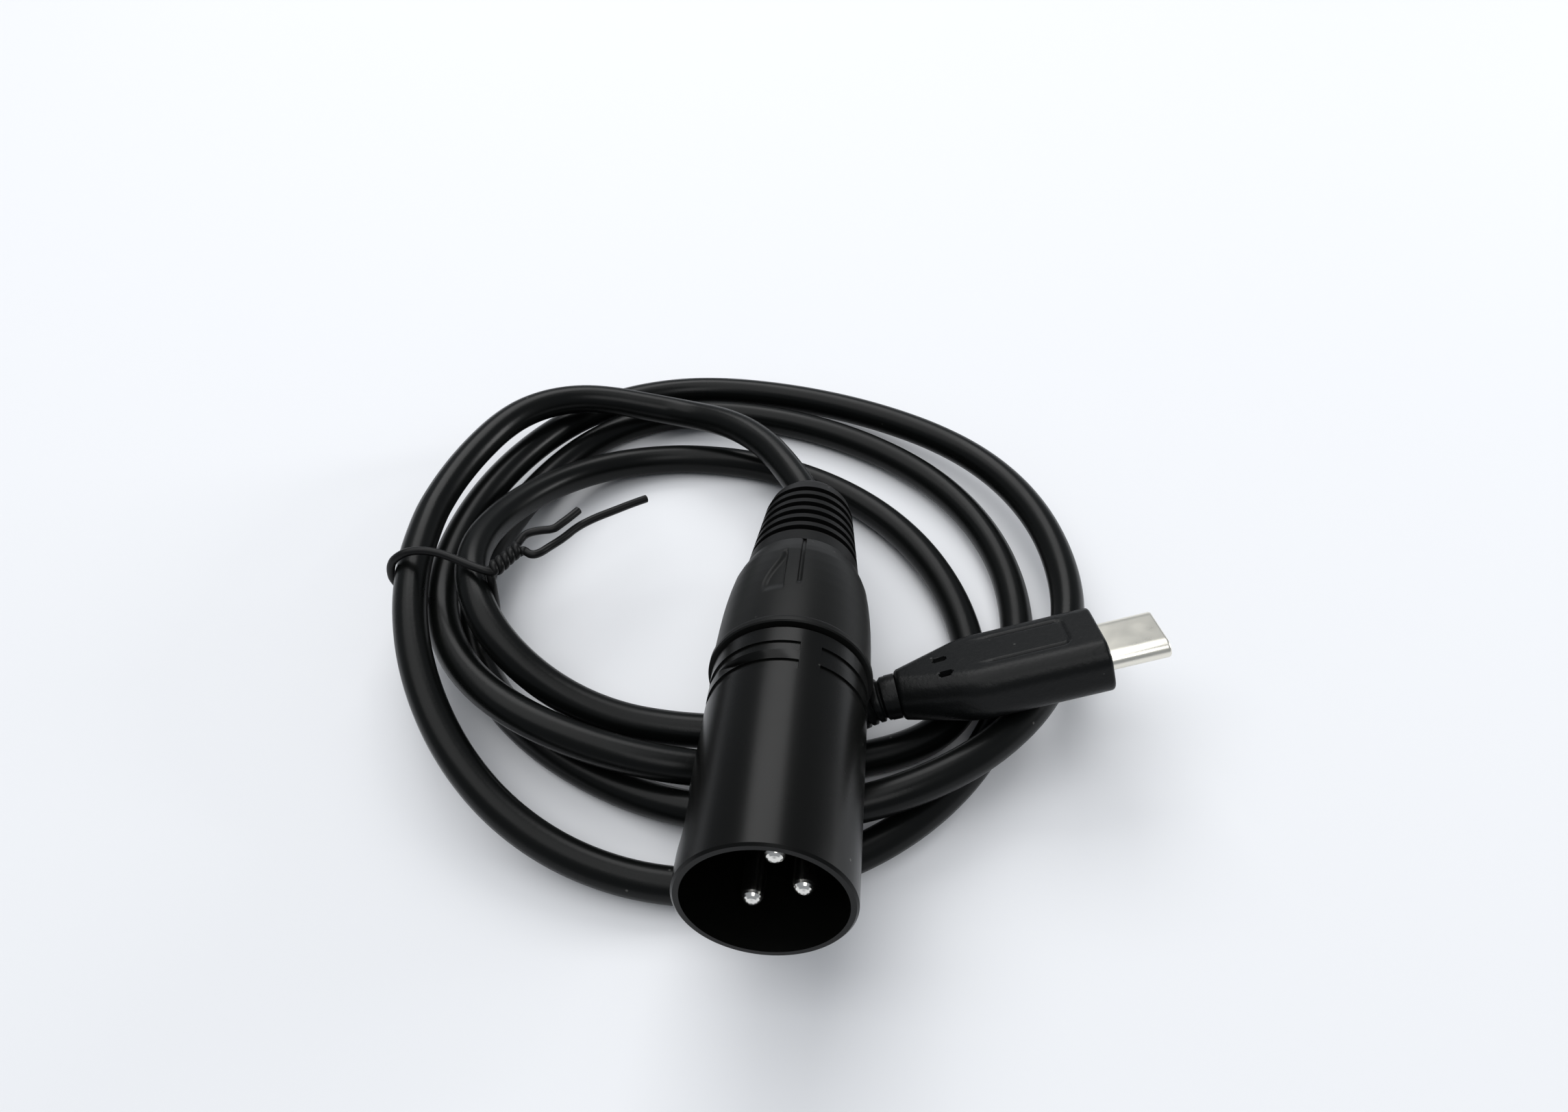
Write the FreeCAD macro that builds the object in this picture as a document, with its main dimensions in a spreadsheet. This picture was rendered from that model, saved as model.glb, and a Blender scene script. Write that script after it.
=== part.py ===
import FreeCAD, Part
import Sketcher
import math
import os
import re
from FreeCAD import Placement, Rotation, Vector

# A cable with a three-pin XLR connector at one end and a USB-C plug at the other, coiled in three and a half
# loose turns, which lie on the table, and held by a wire tie at the left.
# Millimetres. X is right, Y is away from the front, Z is up; the origin is below the middle, on the table.

SIZES = [
    # The cable
    ("cord_diameter", 4.4, "round cable, outside"),
    ("coil_floor_cut", 0.5, "depth of the flat that the coil rests on"),
    # XLR shell, measured from its front rim backwards
    ("barrel_diameter", 18.2, "outside of the barrel"),
    ("barrel_wall", 0.83, "wall of the barrel's mouth"),
    ("barrel_length", 29.1, "rim to the rear end of the barrel"),
    ("rim_bevel", 0.25, "bevel of the front rim"),
    ("mouth_depth", 14.3, "rim to the front of the pin carrier"),
    ("carrier_stop", 1.1, "length of the lip that stops the carrier"),
    ("shell_step", 0.7, "outside of the barrel down to the outside of its spigot"),
    ("spigot_wall", 0.9, "wall of the threaded spigot"),
    ("spigot_length", 7.5, "spigot behind the barrel"),
    ("ring_groove_width", 1.4, "each ring groove near the barrel's rear end"),
    ("ring_groove_depth", 0.22, "depth of a ring groove"),
    ("ring_groove_pitch", 2.8, "from one ring groove to the next"),
    ("ring_groove_inset", 6.3, "front ring groove to the barrel's rear end"),
    ("pad_width", 2.4, "flush pad that stops the ring grooves"),
    ("latch_recess_length", 8.9, "latch recess along the barrel"),
    ("latch_recess_width", 4.4, "latch recess across"),
    ("latch_recess_depth", 0.55, "depth of the latch recess"),
    ("latch_recess_inset", 3.4, "rim to the latch recess"),
    # Pins and carrier
    ("carrier_length", 8.0, "pin carrier, without the solder side hub"),
    ("carrier_lip", 0.6, "rise of the lip that stops the carrier"),
    ("hub_step", 1.2, "outside of the carrier down to its hub"),
    ("carrier_hub", 1.6, "hub on the solder side"),
    ("pin_diameter", 2.35, "contact pin"),
    ("pin_tip_inset", 2.2, "rim to the tips of the pins"),
    ("pin_circle", 7.6, "circle that the three pins stand on"),
    ("pin_cup_length", 3.0, "solder cup behind the carrier"),
    ("pin_cup_bore", 1.6, "bore of a solder cup"),
    ("ground_ring_thickness", 0.35, "sheet of the ground ring"),
    ("ground_ring_length", 1.2, "ground ring along the axis"),
    # Nut, clamp and boot
    ("nut_gap", 0.6, "open gap between the barrel and the nut"),
    ("nut_wall", 0.65, "wall of the nut over the spigot"),
    ("nut_lip_rise", 0.3, "rise of the nut's front lip"),
    ("nut_lip_length", 1.0, "front lip along the axis"),
    ("nut_length", 17.7, "nut from its lip to the seam with the boot"),
    ("nut_end_diameter", 15.0, "rear end of the nut"),
    ("boot_neck_diameter", 10.0, "neck of the boot inside the nut"),
    ("boot_neck_length", 3.6, "neck of the boot inside the nut"),
    ("boot_diameter", 14.8, "front end of the boot"),
    ("boot_end_diameter", 9.2, "rear end of the boot"),
    ("boot_end_bevel", 2.2, "loss of diameter at the boot's rounded rear end"),
    ("boot_length", 16.8, "boot behind the nut"),
    ("boot_groove_width", 1.1, "each groove of the boot"),
    ("boot_groove_depth", 0.8, "depth of a groove of the boot"),
    ("boot_groove_pitch", 1.98, "from one groove to the next"),
    ("boot_groove_inset", 2.2, "seam to the first groove"),
    ("chuck_length", 9.5, "cable clamp"),
    ("chuck_room", 2.4, "outside of the nut's rear end down to the clamp's narrow end"),
    ("chuck_slot", 1.0, "slot between two jaws of the clamp"),
    # USB-C plug, measured from its front face
    ("usb_shell_width", 8.25, "metal shell across"),
    ("usb_shell_height", 2.4, "metal shell, thickness"),
    ("usb_shell_length", 7.2, "metal shell in front of the moulding"),
    ("usb_shell_wall", 0.25, "sheet of the metal shell"),
    ("usb_shell_root", 3.0, "metal shell inside the moulding"),
    ("usb_tongue_slot", 0.8, "slot for the socket's tongue"),
    ("usb_grip_width", 11.5, "moulding across"),
    ("usb_grip_height", 7.0, "moulding, thickness"),
    ("usb_grip_length", 25.2, "moulding from front to rear"),
    ("usb_grip_taper", 7.0, "rear part of the moulding that narrows"),
    ("usb_grip_end", 6.2, "width and thickness of the moulding's rear end"),
    ("usb_grip_wall", 1.3, "wall of the moulding"),
    ("usb_panel_width", 5.0, "outline on the moulding's top, across"),
    ("usb_panel_length", 11.0, "outline on the moulding's top, along"),
    ("usb_panel_inset", 3.8, "front face to the outline"),
    ("usb_panel_depth", 0.25, "depth of the outline"),
    ("usb_panel_line", 0.3, "width of the outline's line"),
    ("usb_contact_width", 0.25, "one contact across"),
    ("usb_contact_thickness", 0.12, "sheet of a contact"),
    ("usb_contact_pitch", 0.5, "from one contact place to the next"),
    ("usb_plate_thickness", 0.2, "plate between the two rows"),
    ("usb_board_thickness", 0.8, "circuit board"),
    ("usb_board_length", 12.5, "circuit board"),
    ("usb_collar_diameter", 5.6, "neck behind the moulding"),
    ("usb_collar_length", 1.2, "neck behind the moulding"),
    ("usb_relief_wall", 0.35, "wall of the bend protection round the cable"),
    ("usb_relief_lead", 2.2, "collar to the corner of the cable's first bend"),
    # Wires and tie
    ("wire_diameter", 1.1, "one wire inside the XLR connector"),
    ("usb_wire_diameter", 0.8, "one wire inside the USB plug"),
    ("tie_diameter", 1.0, "covered wire of the tie"),
    # Fits
    ("edge_break", 0.15, "small bevel on a moulded edge"),
    ("seat_clearance", 0.06, "round a piece that is seated in another"),
    ("running_clearance", 0.25, "round a piece that turns or slides in another"),
]

# Where the cable leaves each connector, which the connector's own lengths run forward from
XLR_EXIT = Vector(6.943, 13.127, 10.6)
XLR_YAW = 5.1
XLR_DIP = 8.6
PAD_TURN = 15.6
LATCH_TURN = 83.0
PIN_TURNS = (157.0, -11.0, -107.0)

USB_EXIT = Vector(16.064, -17.859, 8.321)
USB_YAW = 7.1
USB_LIFT = 13.0
USB_ROLL = -20.0

os.makedirs("parts", exist_ok=True)
doc = FreeCAD.newDocument("xlr_cable_coil")
sheet = doc.addObject("Spreadsheet::Sheet", "Sizes")
for row, (alias, number, note) in enumerate(SIZES, 1):
    sheet.set(f"A{row}", note)
    sheet.set(f"B{row}", str(number))
    sheet.setAlias(f"B{row}", alias)
doc.recompute()

WORD = re.compile(r"[a-z][a-z_0-9]+")
KNOWN = {alias for alias, number, note in SIZES}
kept = []


def size(alias):
    return float(sheet.get(alias))


def worth(text):
    """The number that an expression of sizes stands for."""
    numbers = WORD.sub(lambda found: repr(size(found.group())) if found.group() in KNOWN else found.group(), text)
    return FreeCAD.Units.Quantity(numbers).Value


def bind(thing, name, text):
    linked = WORD.sub(lambda found: "Sizes." + found.group() if found.group() in KNOWN else found.group(), text)
    thing.setExpression(name, linked)


def keep(thing, label, frame):
    """Take an object as a sub-part: its label names its file."""
    thing.Label = label
    thing.Placement = frame
    kept.append(thing)
    return thing


def frame_of(origin, across, up, along):
    return Placement(origin, Rotation(across, up, along, "ZYX"))


# XLR connector, stations from the front rim
CARRIER = "(barrel_diameter - 2 * shell_step - 2 * spigot_wall - 2 * running_clearance)"
SPIGOT = "(barrel_diameter - 2 * shell_step)"
NUT = "(" + SPIGOT + " + 2 * running_clearance + 2 * nut_wall)"
SPIGOT_END = "barrel_length + spigot_length"
NUT_START = "barrel_length + nut_gap"
NUT_END = NUT_START + " + nut_length"
BOOT_END = NUT_END + " + boot_length"
CARRIER_START = "mouth_depth + carrier_stop"
CARRIER_END = CARRIER_START + " + carrier_length"
HUB_END = CARRIER_END + " + carrier_hub"
CHUCK_START = SPIGOT_END + " - 3.5"
XLR_CABLE_END = CHUCK_START + " - 1.0"
XLR_CABLE_OUT = BOOT_END + " - 6"
CARRIER_BORE = CARRIER + " / 2 + running_clearance"
COLLAR_END = "-usb_grip_length - usb_collar_length"


# Local frames: Z runs along the connector's axis
def xlr_frame():
    yaw = math.radians(XLR_YAW)
    dip = math.radians(XLR_DIP)
    rearward = Vector(math.sin(yaw) * math.cos(dip), math.cos(yaw) * math.cos(dip), -math.sin(dip))
    left = Vector(-math.cos(yaw), math.sin(yaw), 0)
    rim = XLR_EXIT - rearward * worth(BOOT_END)
    return frame_of(rim, left, rearward.cross(left), rearward)


def usb_frame():
    yaw = math.radians(USB_YAW)
    lift = math.radians(USB_LIFT)
    roll = math.radians(USB_ROLL)
    forward = Vector(math.cos(lift) * math.cos(yaw), math.cos(lift) * math.sin(yaw), math.sin(lift))
    level = Vector(-math.sin(yaw), math.cos(yaw), 0)
    across = level * math.cos(roll) + forward.cross(level) * math.sin(roll)
    face = USB_EXIT - forward * worth(COLLAR_END)
    return frame_of(face, across, forward.cross(across), forward)


XLR = xlr_frame()
USB = usb_frame()


def origin_plane(body, role):
    return [plane for plane in body.Origin.OriginFeatures if plane.Role == role][0]


def outline(body, name, points):
    """A closed outline of straight lines in the body's XZ plane; each point is a pair of expressions."""
    sketch = body.newObject("Sketcher::SketchObject", name)
    sketch.AttachmentSupport = (origin_plane(body, "XZ_Plane"), [""])
    sketch.MapMode = "FlatFace"
    places = [Vector(worth(out), worth(along), 0) for out, along in points]
    for start, end in zip(places, places[1:] + places[:1]):
        sketch.addGeometry(Part.LineSegment(start, end))
    for line in range(len(points)):
        sketch.addConstraint(Sketcher.Constraint("Coincident", line, 2, (line + 1) % len(points), 1))
    for line, (out, along) in enumerate(points):
        for kind, text, axis in (("DistanceX", out, -2), ("DistanceY", along, -1)):
            if abs(worth(text)) < 1e-9:
                sketch.addConstraint(Sketcher.Constraint("PointOnObject", line, 1, axis))
                continue
            number = sketch.addConstraint(Sketcher.Constraint(kind, -1, 1, line, 1, worth(text)))
            title = f"{'out' if kind == 'DistanceX' else 'along'}_{line}"
            sketch.renameConstraint(number, title)
            bind(sketch, "Constraints." + title, text)
    return sketch


def turned(name, points):
    """A body of revolution about the local Z axis."""
    body = doc.addObject("PartDesign::Body", name)
    sketch = outline(body, name + "_outline", points)
    spin = body.newObject("PartDesign::Revolution", name + "_turned")
    spin.Profile = sketch
    spin.ReferenceAxis = (sketch, ["V_Axis"])
    spin.Angle = 360
    doc.recompute()
    return body


def rod(name, diameter, length, start="0", place=(0, 0), spin=Rotation()):
    """A cylinder along the local Z axis, or along the turned axis."""
    cylinder = doc.addObject("Part::Cylinder", name)
    bind(cylinder, "Radius", f"({diameter}) / 2")
    bind(cylinder, "Height", length)
    cylinder.Placement = Placement(Vector(place[0], place[1], worth(start)), spin)
    bind(cylinder, "Placement.Base.z", start)
    return cylinder


def block(name, width, height, length, start, lift="0", side="0"):
    """A box along the local Z axis, centred across unless it is moved up or aside."""
    box = doc.addObject("Part::Box", name)
    bind(box, "Length", width)
    bind(box, "Width", height)
    bind(box, "Height", length)
    bind(box, "Placement.Base.x", f"{side} - ({width}) / 2")
    bind(box, "Placement.Base.y", f"{lift} - ({height}) / 2")
    bind(box, "Placement.Base.z", start)
    return box


def cut(name, base, tools):
    """The base with every tool taken away."""
    if len(tools) > 1:
        joined = doc.addObject("Part::MultiFuse", name + "_tools")
        joined.Shapes = tools
    else:
        joined = tools[0]
    result = doc.addObject("Part::Cut", name)
    result.Base = base
    result.Tool = joined
    return result


def fuse(name, pieces):
    result = doc.addObject("Part::MultiFuse", name)
    result.Shapes = pieces
    return result


def spun(thing, degrees):
    """Turn a tool about the local Z axis, from straight up towards the left."""
    turned_tool = doc.addObject("Part::Compound", thing.Name + "_spun")
    turned_tool.Links = [thing]
    turned_tool.Placement = Placement(Vector(), Rotation(Vector(0, 0, 1), -degrees))
    return turned_tool


def kept_rod(label, diameter, length, start, frame, place=(0, 0)):
    """A cylinder that is a sub-part by itself."""
    cylinder = doc.addObject("Part::Cylinder", label + "_rod")
    bind(cylinder, "Radius", f"({diameter}) / 2")
    bind(cylinder, "Height", length)
    return keep(cylinder, label, frame.multiply(Placement(Vector(place[0], place[1], worth(start)), Rotation())))


# Tubes along a route: straight runs joined by tangent arcs
def rounded_route(points):
    """Edges of the route and the radii of its arcs."""
    edges = []
    radii = []
    last = points[0]
    for before, corner, after in zip(points, points[1:], points[2:]):
        come = (corner - before).normalize()
        leave = (after - corner).normalize()
        turn = come.getAngle(leave)
        shorter = min((corner - before).Length, (after - corner).Length)
        reach = 0.45 * shorter
        radius = reach / math.tan(turn / 2)
        start = corner - come * reach
        end = corner + leave * reach
        inward = (leave - come).normalize()
        middle = corner + inward * (radius / math.cos(turn / 2) - radius)
        edges.append(Part.LineSegment(last, start).toShape())
        edges.append(Part.Arc(start, middle, end).toShape())
        radii.append(radius)
        last = end
    edges.append(Part.LineSegment(last, points[-1]).toShape())
    return edges, radii


def tube(edges, diameter, heading):
    """A round solid along the edges."""
    start = edges[0].Vertexes[0].Point
    ring = Part.Wire(Part.makeCircle(diameter / 2, start, heading))
    solid = Part.Wire(edges).makePipeShell([ring], True, False)
    length = sum(edge.Length for edge in edges)
    expected = length * math.pi * diameter ** 2 / 4
    return solid, length, solid.Volume / expected


def cord(label, points, diameter):
    edges, radii = rounded_route(points)
    solid, length, filled = tube(edges, diameter, points[1] - points[0])
    shown = ", ".join(f"{radius:.1f}" for radius in radii)
    print(f"{label}: length {length:.1f}, volume ratio {filled:.4f}, radii {shown}")
    feature = doc.addObject("Part::Feature", label)
    feature.Shape = solid
    return keep(feature, label, feature.Placement)


def along_xlr(station, left=0.0, up=0.0):
    """A point in the part's frame, from the XLR connector's own frame."""
    return XLR.multVec(Vector(left, up, station))


def along_usb(station, across=0.0, up=0.0):
    return USB.multVec(Vector(across, up, station))


def xlr_shell():
    out = "barrel_diameter / 2"
    mouth = out + " - barrel_wall"
    body = turned("shell_blank", [
        (mouth, "0"),
        (out + " - rim_bevel", "0"),
        (out, "rim_bevel"),
        (out, "barrel_length"),
        (SPIGOT + " / 2", "barrel_length"),
        (SPIGOT + " / 2", SPIGOT_END),
        (CARRIER_BORE, SPIGOT_END),
        (CARRIER_BORE, CARRIER_START),
        (CARRIER_BORE + " - carrier_lip", CARRIER_START),
        (CARRIER_BORE + " - carrier_lip", "mouth_depth"),
        (mouth, "mouth_depth"),
    ])
    tools = []
    for turn in range(2):
        start = f"barrel_length - ring_groove_inset + {turn} * ring_groove_pitch"
        outer = rod(f"ring_groove_outer_{turn}", "barrel_diameter + 2", "ring_groove_width", start)
        inner = rod(f"ring_groove_floor_{turn}", "barrel_diameter - 2 * ring_groove_depth", "ring_groove_width", start)
        ring = cut(f"ring_groove_{turn}", outer, [inner])
        pad = block(f"ring_pad_{turn}", "pad_width", "barrel_diameter", "ring_groove_width", start,
                    "barrel_diameter / 2")
        tools.append(cut(f"ring_groove_open_{turn}", ring, [spun(pad, -PAD_TURN)]))
    tools.append(latch_tool())
    shell = cut("shell_cut", body, tools)
    return keep(shell, "xlr_shell", XLR)


def latch_tool():
    """A bar with round ends, which cuts the latch recess."""
    floor = "barrel_diameter / 2 - latch_recess_depth"
    straight = "latch_recess_length - latch_recess_width"
    start = "latch_recess_inset + latch_recess_width / 2"
    bar = block("latch_bar", "latch_recess_width", "latch_recess_depth + 2", straight, start,
                f"{floor} + latch_recess_depth / 2 + 1")
    ends = []
    for number, station in enumerate((start, f"{start} + {straight}")):
        end = rod(f"latch_end_{number}", "latch_recess_width", "latch_recess_depth + 2", station,
                  spin=Rotation(Vector(1, 0, 0), -90))
        bind(end, "Placement.Base.y", floor)
        ends.append(end)
    doc.recompute()
    return spun(fuse("latch_tool", [bar] + ends), LATCH_TURN)


def pin_place(turn):
    radius = size("pin_circle") / 2
    angle = math.radians(turn)
    return radius * math.sin(angle), radius * math.cos(angle)


def xlr_insert():
    out = CARRIER + " / 2"
    nose = out + " - carrier_lip - running_clearance"
    blank = turned("insert_blank", [
        ("0", "mouth_depth"),
        (nose, "mouth_depth"),
        (nose, CARRIER_START + " + seat_clearance"),
        (out, CARRIER_START + " + seat_clearance"),
        (out, CARRIER_END),
        (out + " - hub_step", CARRIER_END),
        (out + " - hub_step", HUB_END),
        ("0", HUB_END),
    ])
    holes = []
    for number, turn in enumerate(PIN_TURNS, 1):
        holes.append(rod(f"pin_hole_{number}", "pin_diameter + 2 * seat_clearance",
                         "carrier_stop + carrier_length + carrier_hub + 2", "mouth_depth - 1", pin_place(turn)))
    return keep(cut("insert_cut", blank, holes), "xlr_insert", XLR)


TIP_STEPS = 6


def pins():
    """Each pin has a round tip and, at its rear end, a solder cup."""
    out = "pin_diameter / 2"
    cup_end = HUB_END + " + pin_cup_length"
    cup_floor = cup_end + " - pin_cup_length * 0.8"
    tip = []
    for step in range(TIP_STEPS + 1):
        angle = math.pi / 2 * step / TIP_STEPS
        tip.append((f"{out} * {math.sin(angle):.4f}", f"pin_tip_inset + {out} * {1 - math.cos(angle):.4f}"))
    tip[0] = ("0", "pin_tip_inset")
    for number, turn in enumerate(PIN_TURNS, 1):
        pin = turned(f"pin_blank_{number}", tip + [
            (out, cup_end),
            ("pin_cup_bore / 2", cup_end),
            ("pin_cup_bore / 2", cup_floor),
            ("0", cup_floor),
        ])
        place = pin_place(turn)
        keep(pin, f"pin_{number}", XLR.multiply(Placement(Vector(place[0], place[1], 0), Rotation())))


def ground_ring():
    """A ring with a gap, round the carrier's hub."""
    inner = CARRIER + " / 2 - hub_step + seat_clearance"
    start = CARRIER_END + " + seat_clearance"
    outer_ring = rod("ground_ring_outer", f"2 * ({inner} + ground_ring_thickness)", "ground_ring_length", start)
    outer_ring.Angle = 300
    inner_ring = rod("ground_ring_inner", f"2 * ({inner})", "ground_ring_length + 2", start + " - 1")
    return keep(cut("ground_ring_cut", outer_ring, [inner_ring]), "ground_ring", XLR)


def chuck():
    bore = "cord_diameter / 2"
    end = CHUCK_START + " + chuck_length"
    blank = turned("chuck_blank", [
        (bore, CHUCK_START),
        (CARRIER + " / 2", CHUCK_START),
        (CARRIER + " / 2", SPIGOT_END),
        (CARRIER + " / 2 - 0.5", SPIGOT_END + " + 0.6"),
        ("nut_end_diameter / 2 - chuck_room", end),
        (bore, end),
    ])
    slots = []
    for number in range(2):
        slot = block(f"chuck_slot_{number}", CARRIER + " + 2", "chuck_slot", "chuck_length",
                     CHUCK_START + " + chuck_length * 0.4")
        slots.append(spun(slot, 90 * number + 45))
    return keep(cut("chuck_cut", blank, slots), "chuck", XLR)


def backshell_nut():
    bore = SPIGOT + " / 2 + running_clearance"
    out = NUT + " / 2"
    lip = out + " + nut_lip_rise"
    lip_end = NUT_START + " + nut_lip_length"
    inner_end = NUT_END + " - boot_neck_length - nut_gap"
    neck = "boot_neck_diameter / 2 + seat_clearance"
    blank = turned("nut_blank", [
        (bore, NUT_START),
        (lip + " - edge_break", NUT_START),
        (lip, NUT_START + " + edge_break"),
        (lip, lip_end + " - edge_break"),
        (out + " - edge_break", lip_end),
        (out, lip_end + " + edge_break"),
        (out + " - 0.2", NUT_START + " + nut_length * 0.47"),
        (out + " - 0.8", NUT_START + " + nut_length * 0.81"),
        ("nut_end_diameter / 2 + 0.35", NUT_START + " + nut_length * 0.92"),
        ("nut_end_diameter / 2", NUT_END),
        (neck, NUT_END),
        (neck, inner_end),
        ("nut_end_diameter / 2 - 1.7", inner_end),
        (bore, SPIGOT_END + " + 0.8"),
    ])
    return keep(cut("nut_cut", blank, nut_marks()), "backshell_nut", XLR)


# Name, width, first and last share of the nut's length, depth below its front, turn from up towards the left
NUT_MARKS = [
    ("line_front", "0.35", 0.47, 0.64, 0.55, -1.8),
    ("line_middle", "0.35", 0.62, 0.82, 1.0, -1.8),
    ("line_rear", "0.35", 0.80, 1.01, 1.9, -1.8),
    ("finger_front", "3.4", 0.33, 0.62, 0.4, 23.0),
    ("finger_rear", "2.4", 0.60, 0.82, 0.85, 21.0),
]


def nut_marks():
    """The line and the shallow finger mark on the nut, in steps that follow its taper."""
    marks = []
    for name, width, start, end, drop, turn in NUT_MARKS:
        height = f"({NUT} / 2 - {drop})"
        mark = block("nut_" + name, width, "3.0", f"nut_length * {end - start:.2f}",
                     f"{NUT_START} + nut_length * {start}", height + " + 1.5")
        marks.append(spun(mark, turn))
    return marks


BOOT_GROOVES = 6


def boot():
    bore = "cord_diameter / 2 + running_clearance"
    slope = "(boot_diameter - boot_end_diameter - boot_end_bevel) / 2 / boot_length"
    points = [(bore, NUT_END + " - boot_neck_length"),
              ("boot_neck_diameter / 2", NUT_END + " - boot_neck_length"),
              ("boot_neck_diameter / 2", NUT_END),
              ("boot_diameter / 2", NUT_END)]
    for number in range(BOOT_GROOVES):
        start = f"boot_groove_inset + {number} * boot_groove_pitch"
        end = f"{start} + boot_groove_width"
        before = f"boot_diameter / 2 - ({start}) * ({slope})"
        after = f"boot_diameter / 2 - ({end}) * ({slope})"
        points += [(before, f"{NUT_END} + {start}"),
                   (before + " - boot_groove_depth", f"{NUT_END} + {start}"),
                   (after + " - boot_groove_depth", f"{NUT_END} + {end}"),
                   (after, f"{NUT_END} + {end}")]
    points += [("boot_end_diameter / 2 + 1.0", BOOT_END + " - 1.7"),
               ("boot_end_diameter / 2", BOOT_END),
               (bore, BOOT_END)]
    return keep(turned("boot_blank", points), "boot", XLR)


def xlr_wires():
    """Three wires fan out from the cable's end to the solder cups, and a sleeve closes the cable's end."""
    cup_floor = worth(HUB_END + " + pin_cup_length * 0.3")
    cup_end = worth(HUB_END + " + pin_cup_length")
    cable_end = worth(XLR_CABLE_END)
    names = ("conductor_hot", "conductor_cold", "conductor_shield")
    for label, turn in zip(names, PIN_TURNS):
        left, up = pin_place(turn)
        near = size("wire_diameter") * 0.74 / (size("pin_circle") / 2)
        points = [along_xlr(cup_floor, left, up), along_xlr(cup_end + 0.4, left, up),
                  along_xlr(cable_end - 1.0, left * near, up * near), along_xlr(cable_end, left * near, up * near)]
        cord(label, points, size("wire_diameter"))


def xlr_cable():
    """The cable inside the connector and the sleeve on its stripped end."""
    kept_rod("cable_xlr_root", "cord_diameter", f"{XLR_CABLE_OUT} - ({XLR_CABLE_END})", XLR_CABLE_END, XLR)
    inner = "cord_diameter + 2 * seat_clearance"
    sleeve = rod("sleeve_outer", inner + " + 0.6", "2.0", XLR_CABLE_END)
    hole = rod("sleeve_hole", inner, "4.0", XLR_CABLE_END + " - 1")
    sleeve_end = block("sleeve_room", "20", "20", "3", CHUCK_START + " - seat_clearance")
    keep(cut("sleeve_cut", sleeve, [hole, sleeve_end]), "shrink_sleeve", XLR)


# USB-C plug, stations forwards from the moulding's front face
def rounded_section(width, height, corner, station):
    """A rectangle with round corners, as a closed wire across the local Z axis."""
    half_width = width / 2
    half_height = height / 2
    bend = corner * math.sqrt(0.5)
    edges = []
    corners = ((1, 1), (-1, 1), (-1, -1), (1, -1))
    for number, (side, rise) in enumerate(corners):
        centre = Vector(side * (half_width - corner), rise * (half_height - corner), station)
        flat = centre + Vector(side * corner, 0, 0)
        steep = centre + Vector(0, rise * corner, 0)
        start, end = (flat, steep) if number % 2 == 0 else (steep, flat)
        edges.append(Part.Arc(start, centre + Vector(side * bend, rise * bend, 0), end).toShape())
    closed = []
    for arc, following in zip(edges, edges[1:] + edges[:1]):
        closed.append(arc)
        closed.append(Part.LineSegment(arc.lastVertex().Point, following.firstVertex().Point).toShape())
    return Part.Wire(closed)


GRIP_CORNER = 2.6


def usb_overmould():
    length = size("usb_grip_length")
    full = (size("usb_grip_width"), size("usb_grip_height"), GRIP_CORNER)
    small = (full[0] - 0.5, full[1] - 0.5, GRIP_CORNER - 0.25)
    end = (size("usb_grip_end"), size("usb_grip_end") - 0.4, GRIP_CORNER)
    taper = length - size("usb_grip_taper")
    grip = doc.addObject("Part::Feature", "grip_blank")
    stations = ((end, -length), (full, -taper), (full, -0.4), (small, 0.0))
    wires = [rounded_section(*section, station) for section, station in stations]
    grip.Shape = Part.makeLoft(wires, True, True)
    room = block("grip_room", "usb_grip_width - 2 * usb_grip_wall", "usb_grip_height - 2 * usb_grip_wall",
                 "usb_grip_length - usb_grip_taper - usb_grip_wall", "usb_grip_taper - usb_grip_length")
    mouth = block("grip_mouth", "usb_shell_width + 2 * seat_clearance", "usb_shell_height + 2 * seat_clearance",
                  "usb_grip_wall + 2", "-usb_grip_wall - 1")
    ferrule_hole = rod("grip_ferrule_hole", "cord_diameter + 1.2", "4.2 + 1", "usb_grip_taper - usb_grip_length - 4.2")
    cable_hole = rod("grip_cable_hole", "cord_diameter + 2 * seat_clearance", "usb_grip_taper + 2",
                     "-usb_grip_length - 1")
    top = "usb_grip_height / 2 + 0.5"
    panel = block("grip_panel", "usb_panel_width", "1", "usb_panel_length", "-usb_panel_inset - usb_panel_length",
                  top + " - usb_panel_depth")
    middle = block("grip_panel_middle", "usb_panel_width - 2 * usb_panel_line", "2",
                   "usb_panel_length - 2 * usb_panel_line", "usb_panel_line - usb_panel_inset - usb_panel_length", top)
    panel = cut("grip_panel_line", panel, [middle])
    slots = [block(f"grip_slot_{number}", "0.9", "1", "0.6", "-usb_grip_length + 5.5", top + " - 0.5", side)
             for number, side in enumerate(("-2.4", "0.6"))]
    tools = [room, mouth, ferrule_hole, cable_hole, panel] + slots
    return keep(cut("grip_cut", grip, tools), "usb_overmould", USB)


def flat_tube(name, width, height, length, start):
    """A solid bar with fully round sides."""
    bar = block(name + "_bar", f"{width} - ({height})", height, length, start)
    sides = []
    for number, side in enumerate((-1, 1)):
        end = rod(f"{name}_side_{number}", height, length, start)
        bind(end, "Placement.Base.x", f"{side} * ({width} - ({height})) / 2")
        sides.append(end)
    return fuse(name, [bar] + sides)


INSULATOR_WIDTH = "usb_shell_width - 2 * usb_shell_wall - 2 * seat_clearance"
INSULATOR_HEIGHT = "usb_shell_height - 2 * usb_shell_wall - 2 * seat_clearance"


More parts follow.
